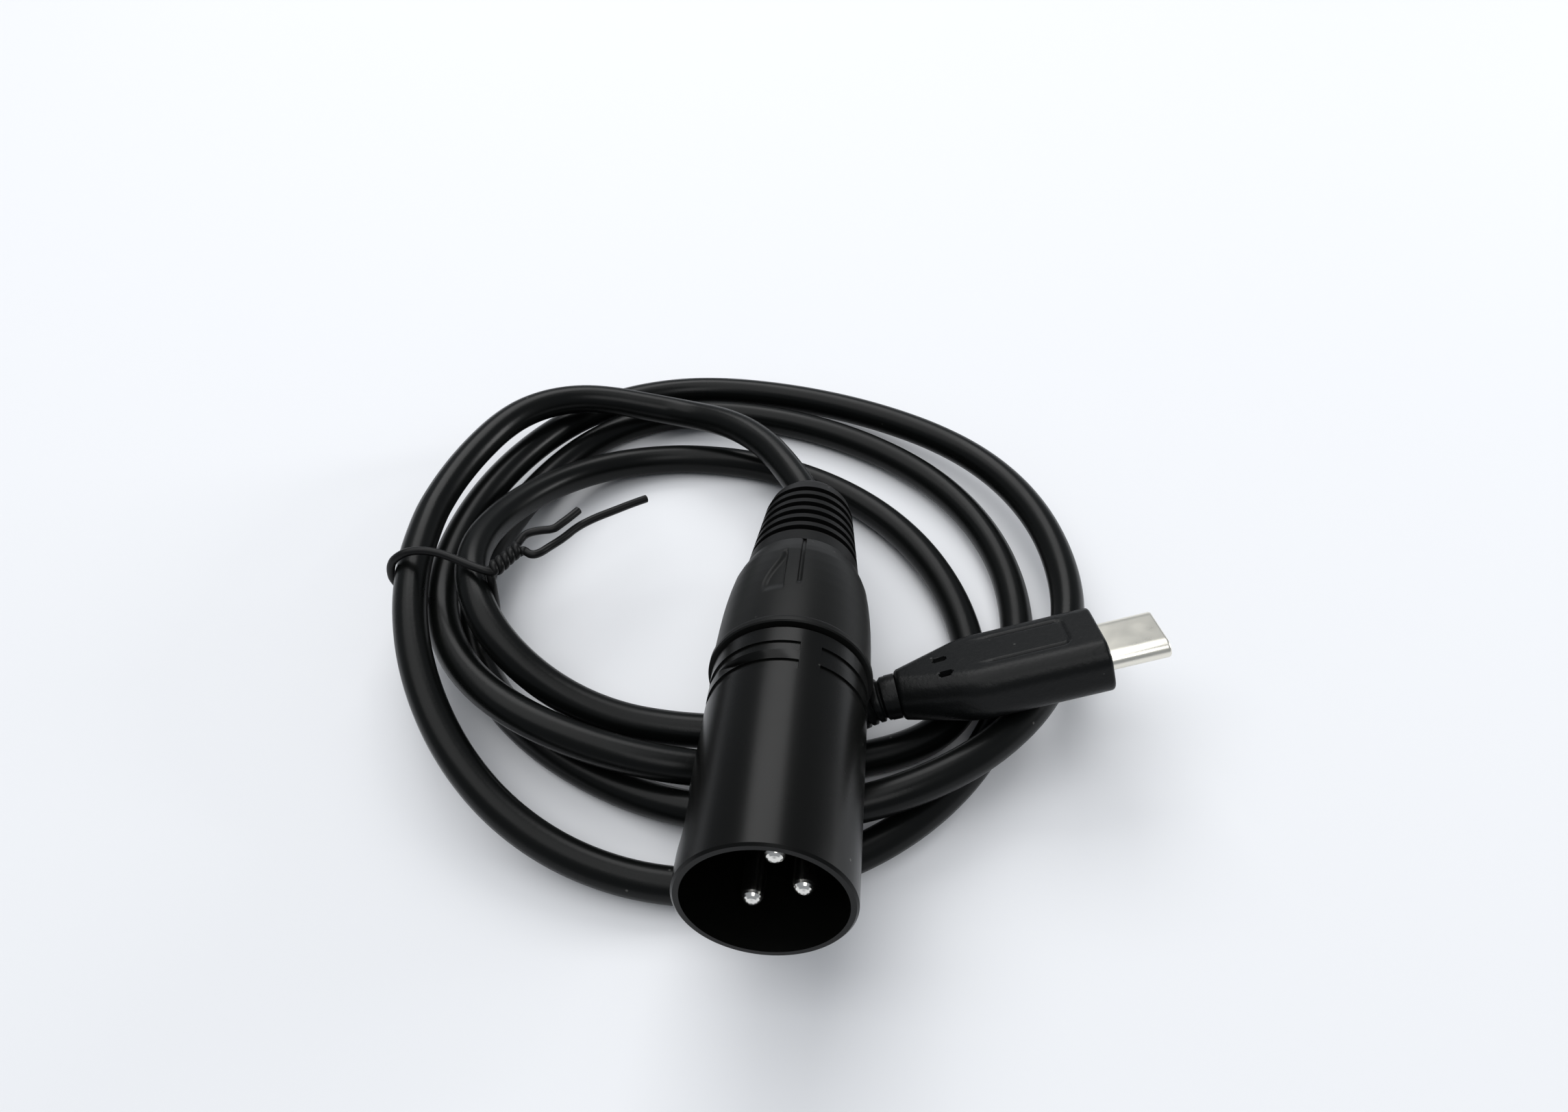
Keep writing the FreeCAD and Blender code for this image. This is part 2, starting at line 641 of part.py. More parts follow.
def usb_shell():
    outer = flat_tube("usb_shell_outer", "usb_shell_width", "usb_shell_height",
                      "usb_shell_length + usb_shell_root", "-usb_shell_root")
    inner = flat_tube("usb_shell_inner", "usb_shell_width - 2 * usb_shell_wall",
                      "usb_shell_height - 2 * usb_shell_wall", "usb_shell_length + usb_shell_root + 2",
                      "-usb_shell_root - 1")
    return keep(cut("usb_shell_cut", outer, [inner]), "usb_shell", USB)


UPPER_PLACES = (1, 4, 5, 6, 7, 9, 12)
LOWER_PLACES = (1, 4, 5, 9, 12)


def contact_side(place):
    return f"({place} - 6.5) * usb_contact_pitch"


def usb_insulator():
    blank = flat_tube("insulator_blank", INSULATOR_WIDTH, INSULATOR_HEIGHT, "usb_shell_length + 2.0", "-2.5")
    slot = block("insulator_slot", "6.7", "usb_tongue_slot", "usb_shell_length - 0.8", "0.9")
    tools = [slot]
    for rise, places in ((1, UPPER_PLACES), (-1, LOWER_PLACES)):
        lift = f"{rise} * (usb_tongue_slot / 2 + 0.04 + usb_contact_thickness / 2)"
        for place in places:
            tools.append(block(f"contact_room_{rise + 1}_{place}", "usb_contact_width + 2 * seat_clearance",
                               "usb_contact_thickness + 2 * seat_clearance", "usb_shell_length + 2", "-3.5", lift,
                               contact_side(place)))
    tools.append(block("plate_room", "7.0", "usb_plate_thickness + 2 * seat_clearance", "4.2", "-3.0"))
    return keep(cut("insulator_cut", blank, tools), "usb_insulator", USB)


def usb_contacts():
    """Two rows of flat contacts, from the slot back to the board."""
    for row, rise, places in (("upper", 1, UPPER_PLACES), ("lower", -1, LOWER_PLACES)):
        for place in places:
            contact = doc.addObject("Part::Box", f"contact_{row}_{place}")
            bind(contact, "Length", "usb_contact_width")
            bind(contact, "Width", "usb_contact_thickness")
            bind(contact, "Height", "usb_shell_length + 3.2")
            side = worth(contact_side(place)) - size("usb_contact_width") / 2
            lift = rise * (size("usb_tongue_slot") / 2 + 0.04 + size("usb_contact_thickness") / 2)
            corner = Vector(side, lift - size("usb_contact_thickness") / 2, -4.8)
            keep(contact, f"usb_contact_{row}_{place}", USB.multiply(Placement(corner, Rotation())))


def usb_mid_plate():
    plate = block("plate_middle", "6.6", "usb_plate_thickness", "3.0", "-2.6")
    arms = [block(f"plate_arm_{number}", "0.3", "usb_plate_thickness", "4.4", "0.2", "0", f"{side * 3.1}")
            for number, side in enumerate((-1, 1))]
    return keep(fuse("plate_joined", [plate] + arms), "usb_mid_plate", USB)


BOARD_FRONT = -3.3


def usb_board():
    """The board with the parts that it carries."""
    top = size("usb_board_thickness") / 2
    rear = BOARD_FRONT - size("usb_board_length")
    pieces = [
        ("usb_board", ("8.2", "usb_board_thickness", "usb_board_length"), (0, -top, rear)),
        ("usb_converter_chip", ("4.2", "0.9", "4.2"), (0, top + 0.02, rear + 5.6)),
        ("usb_crystal", ("2.5", "0.7", "2.0"), (1.9, top + 0.02, rear + 2.9)),
        ("usb_capacitor_1", ("1.0", "0.55", "0.5"), (-1.6, top + 0.02, rear + 3.4)),
        ("usb_capacitor_2", ("1.0", "0.55", "0.5"), (-1.6, top + 0.02, rear + 4.4)),
    ]
    for label, (width, height, length), (side, bottom, start) in pieces:
        box = doc.addObject("Part::Box", label + "_box")
        bind(box, "Length", width)
        bind(box, "Width", height)
        bind(box, "Height", length)
        corner = Vector(side - worth(width) / 2, bottom, start)
        keep(box, label, USB.multiply(Placement(corner, Rotation())))


USB_CABLE_END = "usb_grip_taper - usb_grip_length - 0.2"
USB_CABLE_OUT = COLLAR_END + " + usb_relief_lead"


def usb_rear():
    """Crimp ferrule, collar, and the cable inside the plug."""
    ferrule = rod("ferrule_outer", "cord_diameter + 1.0", "3.9", "usb_grip_taper - usb_grip_length - 4.1")
    hole = rod("ferrule_hole", "cord_diameter + 2 * seat_clearance", "6", "usb_grip_taper - usb_grip_length - 5")
    keep(cut("ferrule_cut", ferrule, [hole]), "usb_crimp_ferrule", USB)
    collar = rod("collar_outer", "usb_collar_diameter", "usb_collar_length", COLLAR_END)
    hole = rod("collar_hole", "cord_diameter + 2 * seat_clearance", "usb_collar_length + 2", COLLAR_END + " - 1")
    keep(cut("collar_cut", collar, [hole]), "usb_collar", USB)
    kept_rod("cable_usb_root", "cord_diameter", f"{USB_CABLE_END} - ({USB_CABLE_OUT})", USB_CABLE_OUT, USB)


def usb_wires():
    """Four wires from the cable's end onto the board."""
    cable_end = worth(USB_CABLE_END)
    board_rear = BOARD_FRONT - size("usb_board_length")
    lift = size("usb_board_thickness") / 2 + size("usb_wire_diameter") / 2 + 0.03
    for number in range(4):
        side = number - 1.5
        near = (side * 0.9, 0.8 if number in (0, 3) else 1.1)
        points = [along_usb(cable_end, *near), along_usb(cable_end + 0.7, *near),
                  along_usb(board_rear + 0.4, side * 1.5, lift), along_usb(board_rear + 1.6, side * 1.5, lift)]
        cord(f"usb_wire_{number + 1}", points, size("usb_wire_diameter"))


# The coil: every quarter turn passes a side of the pile. Each row gives that side, how far out the cable
# passes, how far along, its lift off the table, how far its heading swings from square, and its climb.
COIL_CENTRE = (-4.8, 4.5)
BACK, LEFT, FRONT, RIGHT = 180, 270, 0, 90
QUARTERS = [
    (BACK, 34.6, 18.5, 6.3, -4, 0.18),
    (LEFT, 41.0, -5.0, 9.6, -6, 0.04),
    (FRONT, 44.5, 0.0, 0.0, 2, 0.0),
    (RIGHT, 40.0, 0.0, 0.7, 4, 0.0),
    (BACK, 39.0, 2.0, 0.0, -6, 0.0),
    (LEFT, 35.0, -2.0, 1.4, -5, 0.05),
    (FRONT, 36.5, 4.0, 2.1, -9, 0.22),
    (RIGHT, 46.5, -1.5, 4.7, 0, 0.0),
    (BACK, 44.6, 1.0, 0.3, -6, 0.0),
    (LEFT, 38.5, -1.5, 5.2, -4, 0.03),
    (FRONT, 30.5, 2.0, 2.4, 7, -0.25),
    (RIGHT, 33.0, -12.0, 0.7, 1, 0.02),
    (BACK, 28.0, 6.0, 0.0, -2, 0.0),
    (LEFT, 33.5, -2.5, 8.5, -8, 0.29),
    (FRONT, 24.8, -6.0, 3.0, -3, -0.05),
]


def quarter_point(side, out, ahead, lift, swing, climb):
    """Where the cable passes, and its unit heading there."""
    travel = math.radians(side)
    heading = math.radians(side + swing)
    height = size("cord_diameter") / 2 - size("coil_floor_cut") + lift
    point = Vector(COIL_CENTRE[0] + ahead * math.cos(travel) + out * math.sin(travel),
                   COIL_CENTRE[1] + ahead * math.sin(travel) - out * math.cos(travel), height)
    return point, Vector(math.cos(heading), math.sin(heading), climb).normalize()


def arc_between(start, corner, end):
    """The arc that touches start-corner at start and corner-end at end."""
    come = (corner - start).normalize()
    leave = (end - corner).normalize()
    turn = come.getAngle(leave)
    radius = (corner - start).Length / math.tan(turn / 2)
    inward = (leave - come).normalize()
    middle = corner + inward * (radius / math.cos(turn / 2) - radius)
    return Part.Arc(start, middle, end).toShape(), radius


def quarter_arcs(start, start_way, end, end_way):
    """Two arcs that meet in one tangent."""
    span = end - start
    both = start_way + end_way
    square = 2 * (1 - start_way.dot(end_way))
    linear = 2 * span.dot(both)
    reach = (-linear + math.sqrt(linear ** 2 + 4 * square * span.dot(span))) / (2 * square)
    first = start + start_way * reach
    last = end - end_way * reach
    joint = (first + last) * 0.5
    return [arc_between(start, first, joint), arc_between(joint, last, end)]


def coil_path():
    places = [quarter_point(*quarter) for quarter in QUARTERS]
    lead = size("cord_diameter")
    start, start_way = places[0]
    end, end_way = places[-1]
    edges = [Part.LineSegment(start - start_way * lead, start).toShape()]
    radii = []
    for (point, way), (following, following_way) in zip(places, places[1:]):
        for arc, radius in quarter_arcs(point, way, following, following_way):
            edges.append(arc)
            radii.append(radius)
    edges.append(Part.LineSegment(end, end + end_way * lead).toShape())
    return edges, radii


def least_gap(edges, diameter):
    """The least gap between stretches of the tube that are far apart along it."""
    points = []
    run = 0.0
    for edge in edges:
        steps = max(1, round(edge.Length / 1.0))
        first, last = edge.ParameterRange
        for step in range(steps):
            points.append((run + edge.Length * step / steps, edge.valueAt(first + (last - first) * step / steps)))
        run += edge.Length
    gap = 1000.0
    for number, (here, point) in enumerate(points):
        for there, other in points[number + 1:]:
            if there - here > 9 * diameter:
                gap = min(gap, point.distanceToPoint(other) - diameter)
    return gap


def cable_coil():
    edges, radii = coil_path()
    diameter = size("cord_diameter")
    heading = edges[0].tangentAt(edges[0].FirstParameter)
    solid, length, filled = tube(edges, diameter, heading)
    print(f"cable_coil: length {length:.1f}, volume ratio {filled:.4f}, least radius {min(radii):.1f}, "
          f"least gap {least_gap(edges, diameter):.2f}")
    whole = doc.addObject("Part::Feature", "coil_whole")
    whole.Shape = solid
    reach = length / 2
    table = doc.addObject("Part::Box", "coil_floor")
    table.Length = 2 * reach
    table.Width = 2 * reach
    table.Height = diameter
    table.Placement = Placement(Vector(-reach, -reach, -diameter), Rotation())
    keep(cut("coil_cut", whole, [table]), "cable_coil", Placement())
    return edges


def coil_ends(edges):
    """The two end points of the coil and the unit headings there, along the cable."""
    first = edges[0]
    last = edges[-1]
    return (first.Vertexes[0].Point, first.tangentAt(first.FirstParameter),
            last.Vertexes[-1].Point, last.tangentAt(last.LastParameter))


def xlr_tail(coil_start, coil_way):
    """From the boot round to the coil."""
    out = worth(XLR_CABLE_OUT)
    points = [
        along_xlr(out),
        along_xlr(worth(BOOT_END) + 1.3),
        Vector(3.9, 21.4, 9.7),
        Vector(0.4, 28.0, 9.0),
        Vector(-5.0, 33.6, 8.2),
        coil_start - coil_way * 6.5,
        coil_start,
    ]
    cord("cable_xlr_tail", points, size("cord_diameter"))


def usb_tail(coil_end, coil_way):
    """From the coil, under the barrel, up into the plug; its last bend is inside the bend protection."""
    points = [
        coil_end,
        coil_end + coil_way * 5.0,
        Vector(5.2, -19.9, 3.7),
        Vector(9.8, -18.9, 4.5),
        along_usb(worth(COLLAR_END + " - usb_relief_lead")),
        along_usb(worth(USB_CABLE_OUT)),
    ]
    cord("cable_usb_tail", points, size("cord_diameter"))
    return points


RELIEF_RINGS = 4


def usb_strain_relief(points):
    """A sleeve with ring grooves round the bend behind the collar."""
    edges, radii = rounded_route([point for point in reversed(points)])
    start = along_usb(worth(COLLAR_END) - 0.02)
    bend = edges[1]
    slope = edges[2]
    end = slope.valueAt(slope.FirstParameter + 0.7 * (slope.LastParameter - slope.FirstParameter))
    bend_start = bend.Vertexes[0].Point
    slope_start = slope.Vertexes[0].Point
    path = [Part.LineSegment(start, bend_start).toShape(), bend, Part.LineSegment(slope_start, end).toShape()]
    outer_diameter = size("cord_diameter") + 2 * size("seat_clearance") + 2 * size("usb_relief_wall")
    outer, length, filled = tube(path, outer_diameter, bend_start - start)
    inner = tube(path, size("cord_diameter") + 2 * size("seat_clearance"), bend_start - start)[0]
    sleeve = outer.cut(inner)
    print(f"usb_strain_relief: length {length:.1f}, volume ratio {filled:.4f}")
    for number in range(RELIEF_RINGS):
        share = (number + 0.6) / RELIEF_RINGS
        edge, part = (bend, share * 2) if share < 0.5 else (path[2], share * 2 - 1)
        at = edge.FirstParameter + part * (edge.LastParameter - edge.FirstParameter)
        way = edge.tangentAt(at)
        ring = Part.makeCylinder(outer_diameter, 0.35, edge.valueAt(at), way)
        core = Part.makeCylinder(outer_diameter / 2 - 0.2, 0.35, edge.valueAt(at), way)
        sleeve = sleeve.cut(ring.cut(core))
    feature = doc.addObject("Part::Feature", "usb_strain_relief")
    feature.Shape = sleeve
    return keep(feature, "usb_strain_relief", feature.Placement)


def twist_tie():
    """One covered wire: from its short tail round the bundle to its long tail, crossing itself twice."""
    points = [
        Vector(-24.7, 9.1, 13.9),
        Vector(-25.3, 7.0, 14.0),
        Vector(-26.6, 4.9, 14.0),
        Vector(-28.8, 3.1, 13.8),
        Vector(-31.0, 2.2, 14.1),
        Vector(-32.9, 0.8, 14.5),
        Vector(-34.5, -0.8, 14.7),
        Vector(-37.6, -1.2, 14.6),
        Vector(-42.8, 0.3, 14.4),
        Vector(-49.0, 1.2, 14.4),
        Vector(-49.1, 0.0, 9.0),
        Vector(-41.4, -1.2, 0.5),
        Vector(-36.6, -2.4, 0.6),
        Vector(-35.3, -2.9, 6.5),
        Vector(-33.7, -3.2, 12.8),
        Vector(-33.4, -1.3, 13.3),
        Vector(-33.0, 0.6, 13.1),
        Vector(-32.6, 2.6, 13.1),
        Vector(-31.8, 4.2, 13.2),
        Vector(-29.6, 5.4, 13.1),
        Vector(-27.2, 5.6, 12.8),
        Vector(-24.7, 6.3, 12.7),
        Vector(-22.3, 8.2, 12.6),
        Vector(-19.9, 11.0, 11.8),
        Vector(-16.3, 14.0, 10.8),
    ]
    cord("twist_tie", points, size("tie_diameter"))


xlr_shell()
xlr_insert()
pins()
ground_ring()
chuck()
backshell_nut()
boot()
xlr_wires()
xlr_cable()
usb_overmould()
usb_shell()
usb_insulator()
usb_contacts()
usb_mid_plate()
usb_board()
usb_rear()
usb_wires()
coil_edges = cable_coil()
coil_start, coil_start_way, coil_end, coil_end_way = coil_ends(coil_edges)
xlr_tail(coil_start, coil_start_way)
usb_strain_relief(usb_tail(coil_end, coil_end_way))
twist_tie()

doc.recompute()
for thing in doc.Objects:
    if "Invalid" in thing.State or "Error" in thing.State:
        raise RuntimeError(f"{thing.Name} failed: {thing.State}")
box = FreeCAD.BoundBox()
for thing in kept:
    if thing.Shape.isNull() or not thing.Shape.isValid():
        raise RuntimeError(f"{thing.Label} has no valid shape")
    box.add(thing.Shape.optimalBoundingBox())
for thing in kept:
    thing.Shape.exportStep(f"parts/{thing.Label}.step")
print(f"{len(kept)} sub-parts, X {box.XMin:.2f} {box.XMax:.2f}, Y {box.YMin:.2f} {box.YMax:.2f}, "
      f"Z {box.ZMin:.2f} {box.ZMax:.2f}")
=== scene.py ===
import math

import bmesh
import bpy
from mathutils import Matrix, Vector


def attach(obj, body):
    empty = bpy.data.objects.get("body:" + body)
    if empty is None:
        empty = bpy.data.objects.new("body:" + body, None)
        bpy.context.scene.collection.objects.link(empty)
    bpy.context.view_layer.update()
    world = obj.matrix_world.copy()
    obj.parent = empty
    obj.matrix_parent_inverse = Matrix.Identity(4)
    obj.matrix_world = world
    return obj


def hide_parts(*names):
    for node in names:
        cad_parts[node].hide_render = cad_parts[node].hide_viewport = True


# A coiled microphone cable: an XLR connector at one end, a USB-C plug at the other, and a wire tie round the
# turns at the left. Lengths in this file are millimetres, and MM turns them into Blender's metres.

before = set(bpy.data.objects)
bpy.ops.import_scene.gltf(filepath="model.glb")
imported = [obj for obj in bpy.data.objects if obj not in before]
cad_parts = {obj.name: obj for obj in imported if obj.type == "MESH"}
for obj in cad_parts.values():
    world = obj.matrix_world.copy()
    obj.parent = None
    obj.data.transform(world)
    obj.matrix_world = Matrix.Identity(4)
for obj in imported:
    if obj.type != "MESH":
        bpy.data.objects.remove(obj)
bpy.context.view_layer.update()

MM = 0.001
CABLE_BODY = "cable"
NUT_BODY = "nut"

# Camera: a lens of 1600 pixels on a picture 2289 pixels wide
SENSOR_WIDTH = 36.0
PICTURE_WIDTH = 2289
LENS_PIXELS = 1600
CAMERA_PLACE = Vector((3.2, -96.5, 119.26))
CAMERA_DIP = 47.3
CLIP_START = 0.005

# The connectors' frames, as the CAD has them
XLR_RIM = Vector((1.3, -50.1, 20.2))
XLR_YAW = 5.1
XLR_DIP = 8.6
USB_FACE = Vector((41.59, -14.68, 14.26))
USB_YAW = 7.1
USB_LIFT = 13.0
USB_ROLL = -20.0

CORD_DIAMETER = 4.4
# The CAD's cable is set half a millimetre into the table and cut flat there; this one is round and lies on it
CORD_RAISE = 0.5


def add_camera():
    lens = bpy.data.cameras.new("view")
    lens.sensor_width = SENSOR_WIDTH
    lens.lens = LENS_PIXELS * SENSOR_WIDTH / PICTURE_WIDTH
    lens.clip_start = CLIP_START
    camera = bpy.data.objects.new("view", lens)
    camera.location = CAMERA_PLACE * MM
    camera.rotation_euler = (math.radians(90 - CAMERA_DIP), 0, 0)
    bpy.context.collection.objects.link(camera)
    bpy.context.scene.camera = camera


def axes(origin, across, up, along):
    """A matrix whose Z runs along a connector's axis, in millimetres."""
    turn = Matrix((across, up, along)).transposed()
    return Matrix.Translation(origin) @ turn.to_4x4()


def xlr_axes():
    yaw = math.radians(XLR_YAW)
    dip = math.radians(XLR_DIP)
    rearward = Vector((math.sin(yaw) * math.cos(dip), math.cos(yaw) * math.cos(dip), -math.sin(dip)))
    left = Vector((-math.cos(yaw), math.sin(yaw), 0))
    return axes(XLR_RIM, left, rearward.cross(left), rearward)


def usb_axes():
    yaw = math.radians(USB_YAW)
    lift = math.radians(USB_LIFT)
    roll = math.radians(USB_ROLL)
    forward = Vector((math.cos(lift) * math.cos(yaw), math.cos(lift) * math.sin(yaw), math.sin(lift)))
    level = Vector((-math.sin(yaw), math.cos(yaw), 0))
    across = level * math.cos(roll) + forward.cross(level) * math.sin(roll)
    return axes(USB_FACE, across, forward.cross(across), forward)


XLR = xlr_axes()
USB = usb_axes()


def along_xlr(station, left=0.0, up=0.0):
    """A point given by its distance behind the barrel's rim."""
    return XLR @ Vector((left, up, station))


def along_usb(station, across=0.0, up=0.0):
    """A point given by its distance ahead of the moulding's front face."""
    return USB @ Vector((across, up, station))


# Materials

def new_group(name, inputs, outputs):
    """A shader node group; inputs are (name, value) pairs and outputs are (name, socket type) pairs."""
    group = bpy.data.node_groups.new(name, "ShaderNodeTree")
    for title, value in inputs:
        kind = "NodeSocketFloat" if isinstance(value, float) else "NodeSocketColor"
        socket = group.interface.new_socket(name=title, in_out="INPUT", socket_type=kind)
        socket.default_value = value
    for title, kind in outputs:
        group.interface.new_socket(name=title, in_out="OUTPUT", socket_type=kind)
    return group, group.nodes.new("NodeGroupInput"), group.nodes.new("NodeGroupOutput")


GRAIN_DETAIL = 3.0
GRAIN_ROUGHNESS = 0.6


def grain_group():
    """A fine moulded grain, as a bump normal."""
    group, enter, leave = new_group("moulded_grain", [("Scale", 3000.0), ("Depth", 0.00001)],
                                    [("Normal", "NodeSocketVector")])
    nodes, links = group.nodes, group.links
    place = nodes.new("ShaderNodeTexCoord")
    fine = nodes.new("ShaderNodeTexNoise")
    fine.inputs["Detail"].default_value = GRAIN_DETAIL
    fine.inputs["Roughness"].default_value = GRAIN_ROUGHNESS
    bump = nodes.new("ShaderNodeBump")
    links.new(place.outputs["Object"], fine.inputs["Vector"])
    links.new(enter.outputs["Scale"], fine.inputs["Scale"])
    links.new(enter.outputs["Depth"], bump.inputs["Distance"])
    links.new(fine.outputs["Fac"], bump.inputs["Height"])
    links.new(bump.outputs["Normal"], leave.inputs["Normal"])
    return group


PATCH_DETAIL = 4.0
PATCH_MIDDLE = 0.5
DUST_SCALE = 420.0
DUST_EDGE = 0.09
DUST_HEART = 0.03
# Only the cells whose random value is above this hold a speck
DUST_RARITY = 0.86
DUST_COLOUR = (0.35, 0.34, 0.32, 1.0)


def sum_node(nodes, operation, second=None):
    """A maths node, with its second value set where it is constant."""
    node = nodes.new("ShaderNodeMath")
    node.operation = operation
    if second is not None:
        node.inputs[1].default_value = second
    return node


def handling_group():
    """Uneven gloss and colour from handling, with a few specks of dust."""
    group, enter, leave = new_group(
        "handling", [("Colour", (0.01, 0.01, 0.01, 1.0)), ("Roughness", 0.4), ("Unevenness", 0.08),
                     ("Patch size", 120.0), ("Dust", 0.02)],
        [("Colour", "NodeSocketColor"), ("Roughness", "NodeSocketFloat")])
    nodes, links = group.nodes, group.links
    place = nodes.new("ShaderNodeTexCoord")
    patches = nodes.new("ShaderNodeTexNoise")
    patches.inputs["Detail"].default_value = PATCH_DETAIL
    specks = nodes.new("ShaderNodeTexVoronoi")
    specks.inputs["Scale"].default_value = DUST_SCALE
    near = nodes.new("ShaderNodeMapRange")
    near.inputs["From Min"].default_value = DUST_EDGE
    near.inputs["From Max"].default_value = DUST_HEART
    near.inputs["To Min"].default_value = 0.0
    near.inputs["To Max"].default_value = 1.0
    pick = nodes.new("ShaderNodeSeparateColor")
    sparse = sum_node(nodes, "GREATER_THAN", DUST_RARITY)
    dust = sum_node(nodes, "MULTIPLY")
    amount = sum_node(nodes, "MULTIPLY")
    centred = sum_node(nodes, "SUBTRACT", PATCH_MIDDLE)
    swing = sum_node(nodes, "MULTIPLY")
    rough = sum_node(nodes, "ADD")
    rough.use_clamp = True
    dusty = nodes.new("ShaderNodeMix")
    dusty.data_type = "RGBA"
    dusty.inputs["B"].default_value = DUST_COLOUR
    links.new(place.outputs["Object"], patches.inputs["Vector"])
    links.new(place.outputs["Object"], specks.inputs["Vector"])
    links.new(enter.outputs["Patch size"], patches.inputs["Scale"])
    links.new(specks.outputs["Distance"], near.inputs["Value"])
    links.new(specks.outputs["Color"], pick.inputs["Color"])
    links.new(pick.outputs["Red"], sparse.inputs[0])
    links.new(near.outputs["Result"], dust.inputs[0])
    links.new(sparse.outputs["Value"], dust.inputs[1])
    links.new(dust.outputs["Value"], amount.inputs[0])
    links.new(enter.outputs["Dust"], amount.inputs[1])
    links.new(amount.outputs["Value"], dusty.inputs["Factor"])
    links.new(enter.outputs["Colour"], dusty.inputs["A"])
    links.new(dusty.outputs["Result"], leave.inputs["Colour"])
    links.new(patches.outputs["Fac"], centred.inputs[0])
    links.new(centred.outputs["Value"], swing.inputs[0])
    links.new(enter.outputs["Unevenness"], swing.inputs[1])
    links.new(swing.outputs["Value"], rough.inputs[0])
    links.new(enter.outputs["Roughness"], rough.inputs[1])
    links.new(rough.outputs["Value"], leave.inputs["Roughness"])
    return group


GRAIN = grain_group()
HANDLING = handling_group()


def finish_material(name, colour, roughness, grain, depth, metal=0.0, gloss=0.5, unevenness=0.1, patch=120.0,
                    dust=0.2):
    """A finish: its colour, gloss, handling marks and moulded grain."""
    material = bpy.data.materials.new(name)
    material.use_nodes = True
    nodes, links = material.node_tree.nodes, material.node_tree.links
    shader = nodes["Principled BSDF"]
    shader.inputs["Metallic"].default_value = metal
    shader.inputs["Specular IOR Level"].default_value = gloss
    marks = nodes.new("ShaderNodeGroup")
    marks.node_tree = HANDLING
    marks.inputs["Colour"].default_value = (*colour, 1.0)
    marks.inputs["Roughness"].default_value = roughness
    marks.inputs["Unevenness"].default_value = unevenness
    marks.inputs["Patch size"].default_value = patch
    marks.inputs["Dust"].default_value = dust
    surface = nodes.new("ShaderNodeGroup")
    surface.node_tree = GRAIN
    surface.inputs["Scale"].default_value = grain
    surface.inputs["Depth"].default_value = depth
    links.new(marks.outputs["Colour"], shader.inputs["Base Color"])
    links.new(marks.outputs["Roughness"], shader.inputs["Roughness"])
    links.new(surface.outputs["Normal"], shader.inputs["Normal"])
    return material


JACKET = finish_material("cable_jacket_pvc", (0.0028, 0.0032, 0.003), 0.3, 1800.0, 0.00001, gloss=0.15,
                         unevenness=0.24, patch=90.0)
BARREL = finish_material("barrel_black_lacquer", (0.0026, 0.0027, 0.0024), 0.26, 900.0, 0.000003, gloss=0.15,
                         unevenness=0.16, patch=60.0)
NUT = finish_material("nut_satin_plastic", (0.005, 0.0052, 0.0048), 0.42, 2600.0, 0.000008, gloss=0.14)
RUBBER = finish_material("boot_rubber", (0.004, 0.0041, 0.0039), 0.46, 2200.0, 0.00001, gloss=0.13)
CARRIER = finish_material("carrier_plastic", (0.004, 0.004, 0.004), 0.5, 1500.0, 0.000008, gloss=0.2)
SILVER = finish_material("contact_silver", (0.80, 0.79, 0.75), 0.2, 900.0, 0.000002, metal=1.0)
GOLD = finish_material("contact_gold", (0.83, 0.62, 0.27), 0.25, 1200.0, 0.000001, metal=1.0)
SPRING = finish_material("spring_steel", (0.62, 0.61, 0.58), 0.30, 900.0, 0.000002, metal=1.0)
NICKEL = finish_material("plug_nickel", (0.84, 0.81, 0.72), 0.3, 700.0, 0.000003, metal=1.0, unevenness=0.2,
                         patch=300.0)
MOULDING = finish_material("moulding_pvc", (0.0038, 0.0042, 0.0042), 0.36, 1300.0, 0.00005, gloss=0.16)
WIRE_RED = finish_material("wire_red", (0.45, 0.02, 0.02), 0.4, 1500.0, 0.000004)
WIRE_WHITE = finish_material("wire_white", (0.75, 0.74, 0.70), 0.4, 1500.0, 0.000004)
WIRE_GREEN = finish_material("wire_green", (0.03, 0.30, 0.08), 0.4, 1500.0, 0.000004)
COPPER = finish_material("shield_copper", (0.80, 0.42, 0.25), 0.35, 3000.0, 0.00002, metal=1.0)
BOARD = finish_material("board_mask", (0.01, 0.10, 0.04), 0.35, 1500.0, 0.000008)
CHIP = finish_material("chip_epoxy", (0.015, 0.015, 0.016), 0.55, 2500.0, 0.000008)
CERAMIC = finish_material("capacitor_ceramic", (0.42, 0.30, 0.18), 0.5, 2500.0, 0.000006)
TIE = finish_material("tie_cover", (0.0035, 0.0035, 0.0035), 0.4, 1500.0, 0.00001, gloss=0.2)

NODE_FINISH = {
    "xlr_shell": BARREL, "xlr_insert": CARRIER, "ground_ring": SPRING, "chuck": NUT, "boot": RUBBER,
    "shrink_sleeve": CARRIER, "usb_insulator": CHIP, "usb_mid_plate": SPRING, "usb_board": BOARD,
    "usb_converter_chip": CHIP, "usb_crystal": SPRING, "usb_capacitor_1": CERAMIC, "usb_capacitor_2": CERAMIC,
    "usb_crimp_ferrule": SPRING, "usb_collar": MOULDING,
}


def dress_nodes():
    """Give every CAD node that stays its finish."""
    for name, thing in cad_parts.items():
        if name.startswith("pin_"):
            finish = SILVER
        elif name.startswith("usb_contact_"):
            finish = GOLD
        elif name in NODE_FINISH:
            finish = NODE_FINISH[name]
        else:
            continue
        thing.data.materials.clear()
        thing.data.materials.append(finish)


# The cable

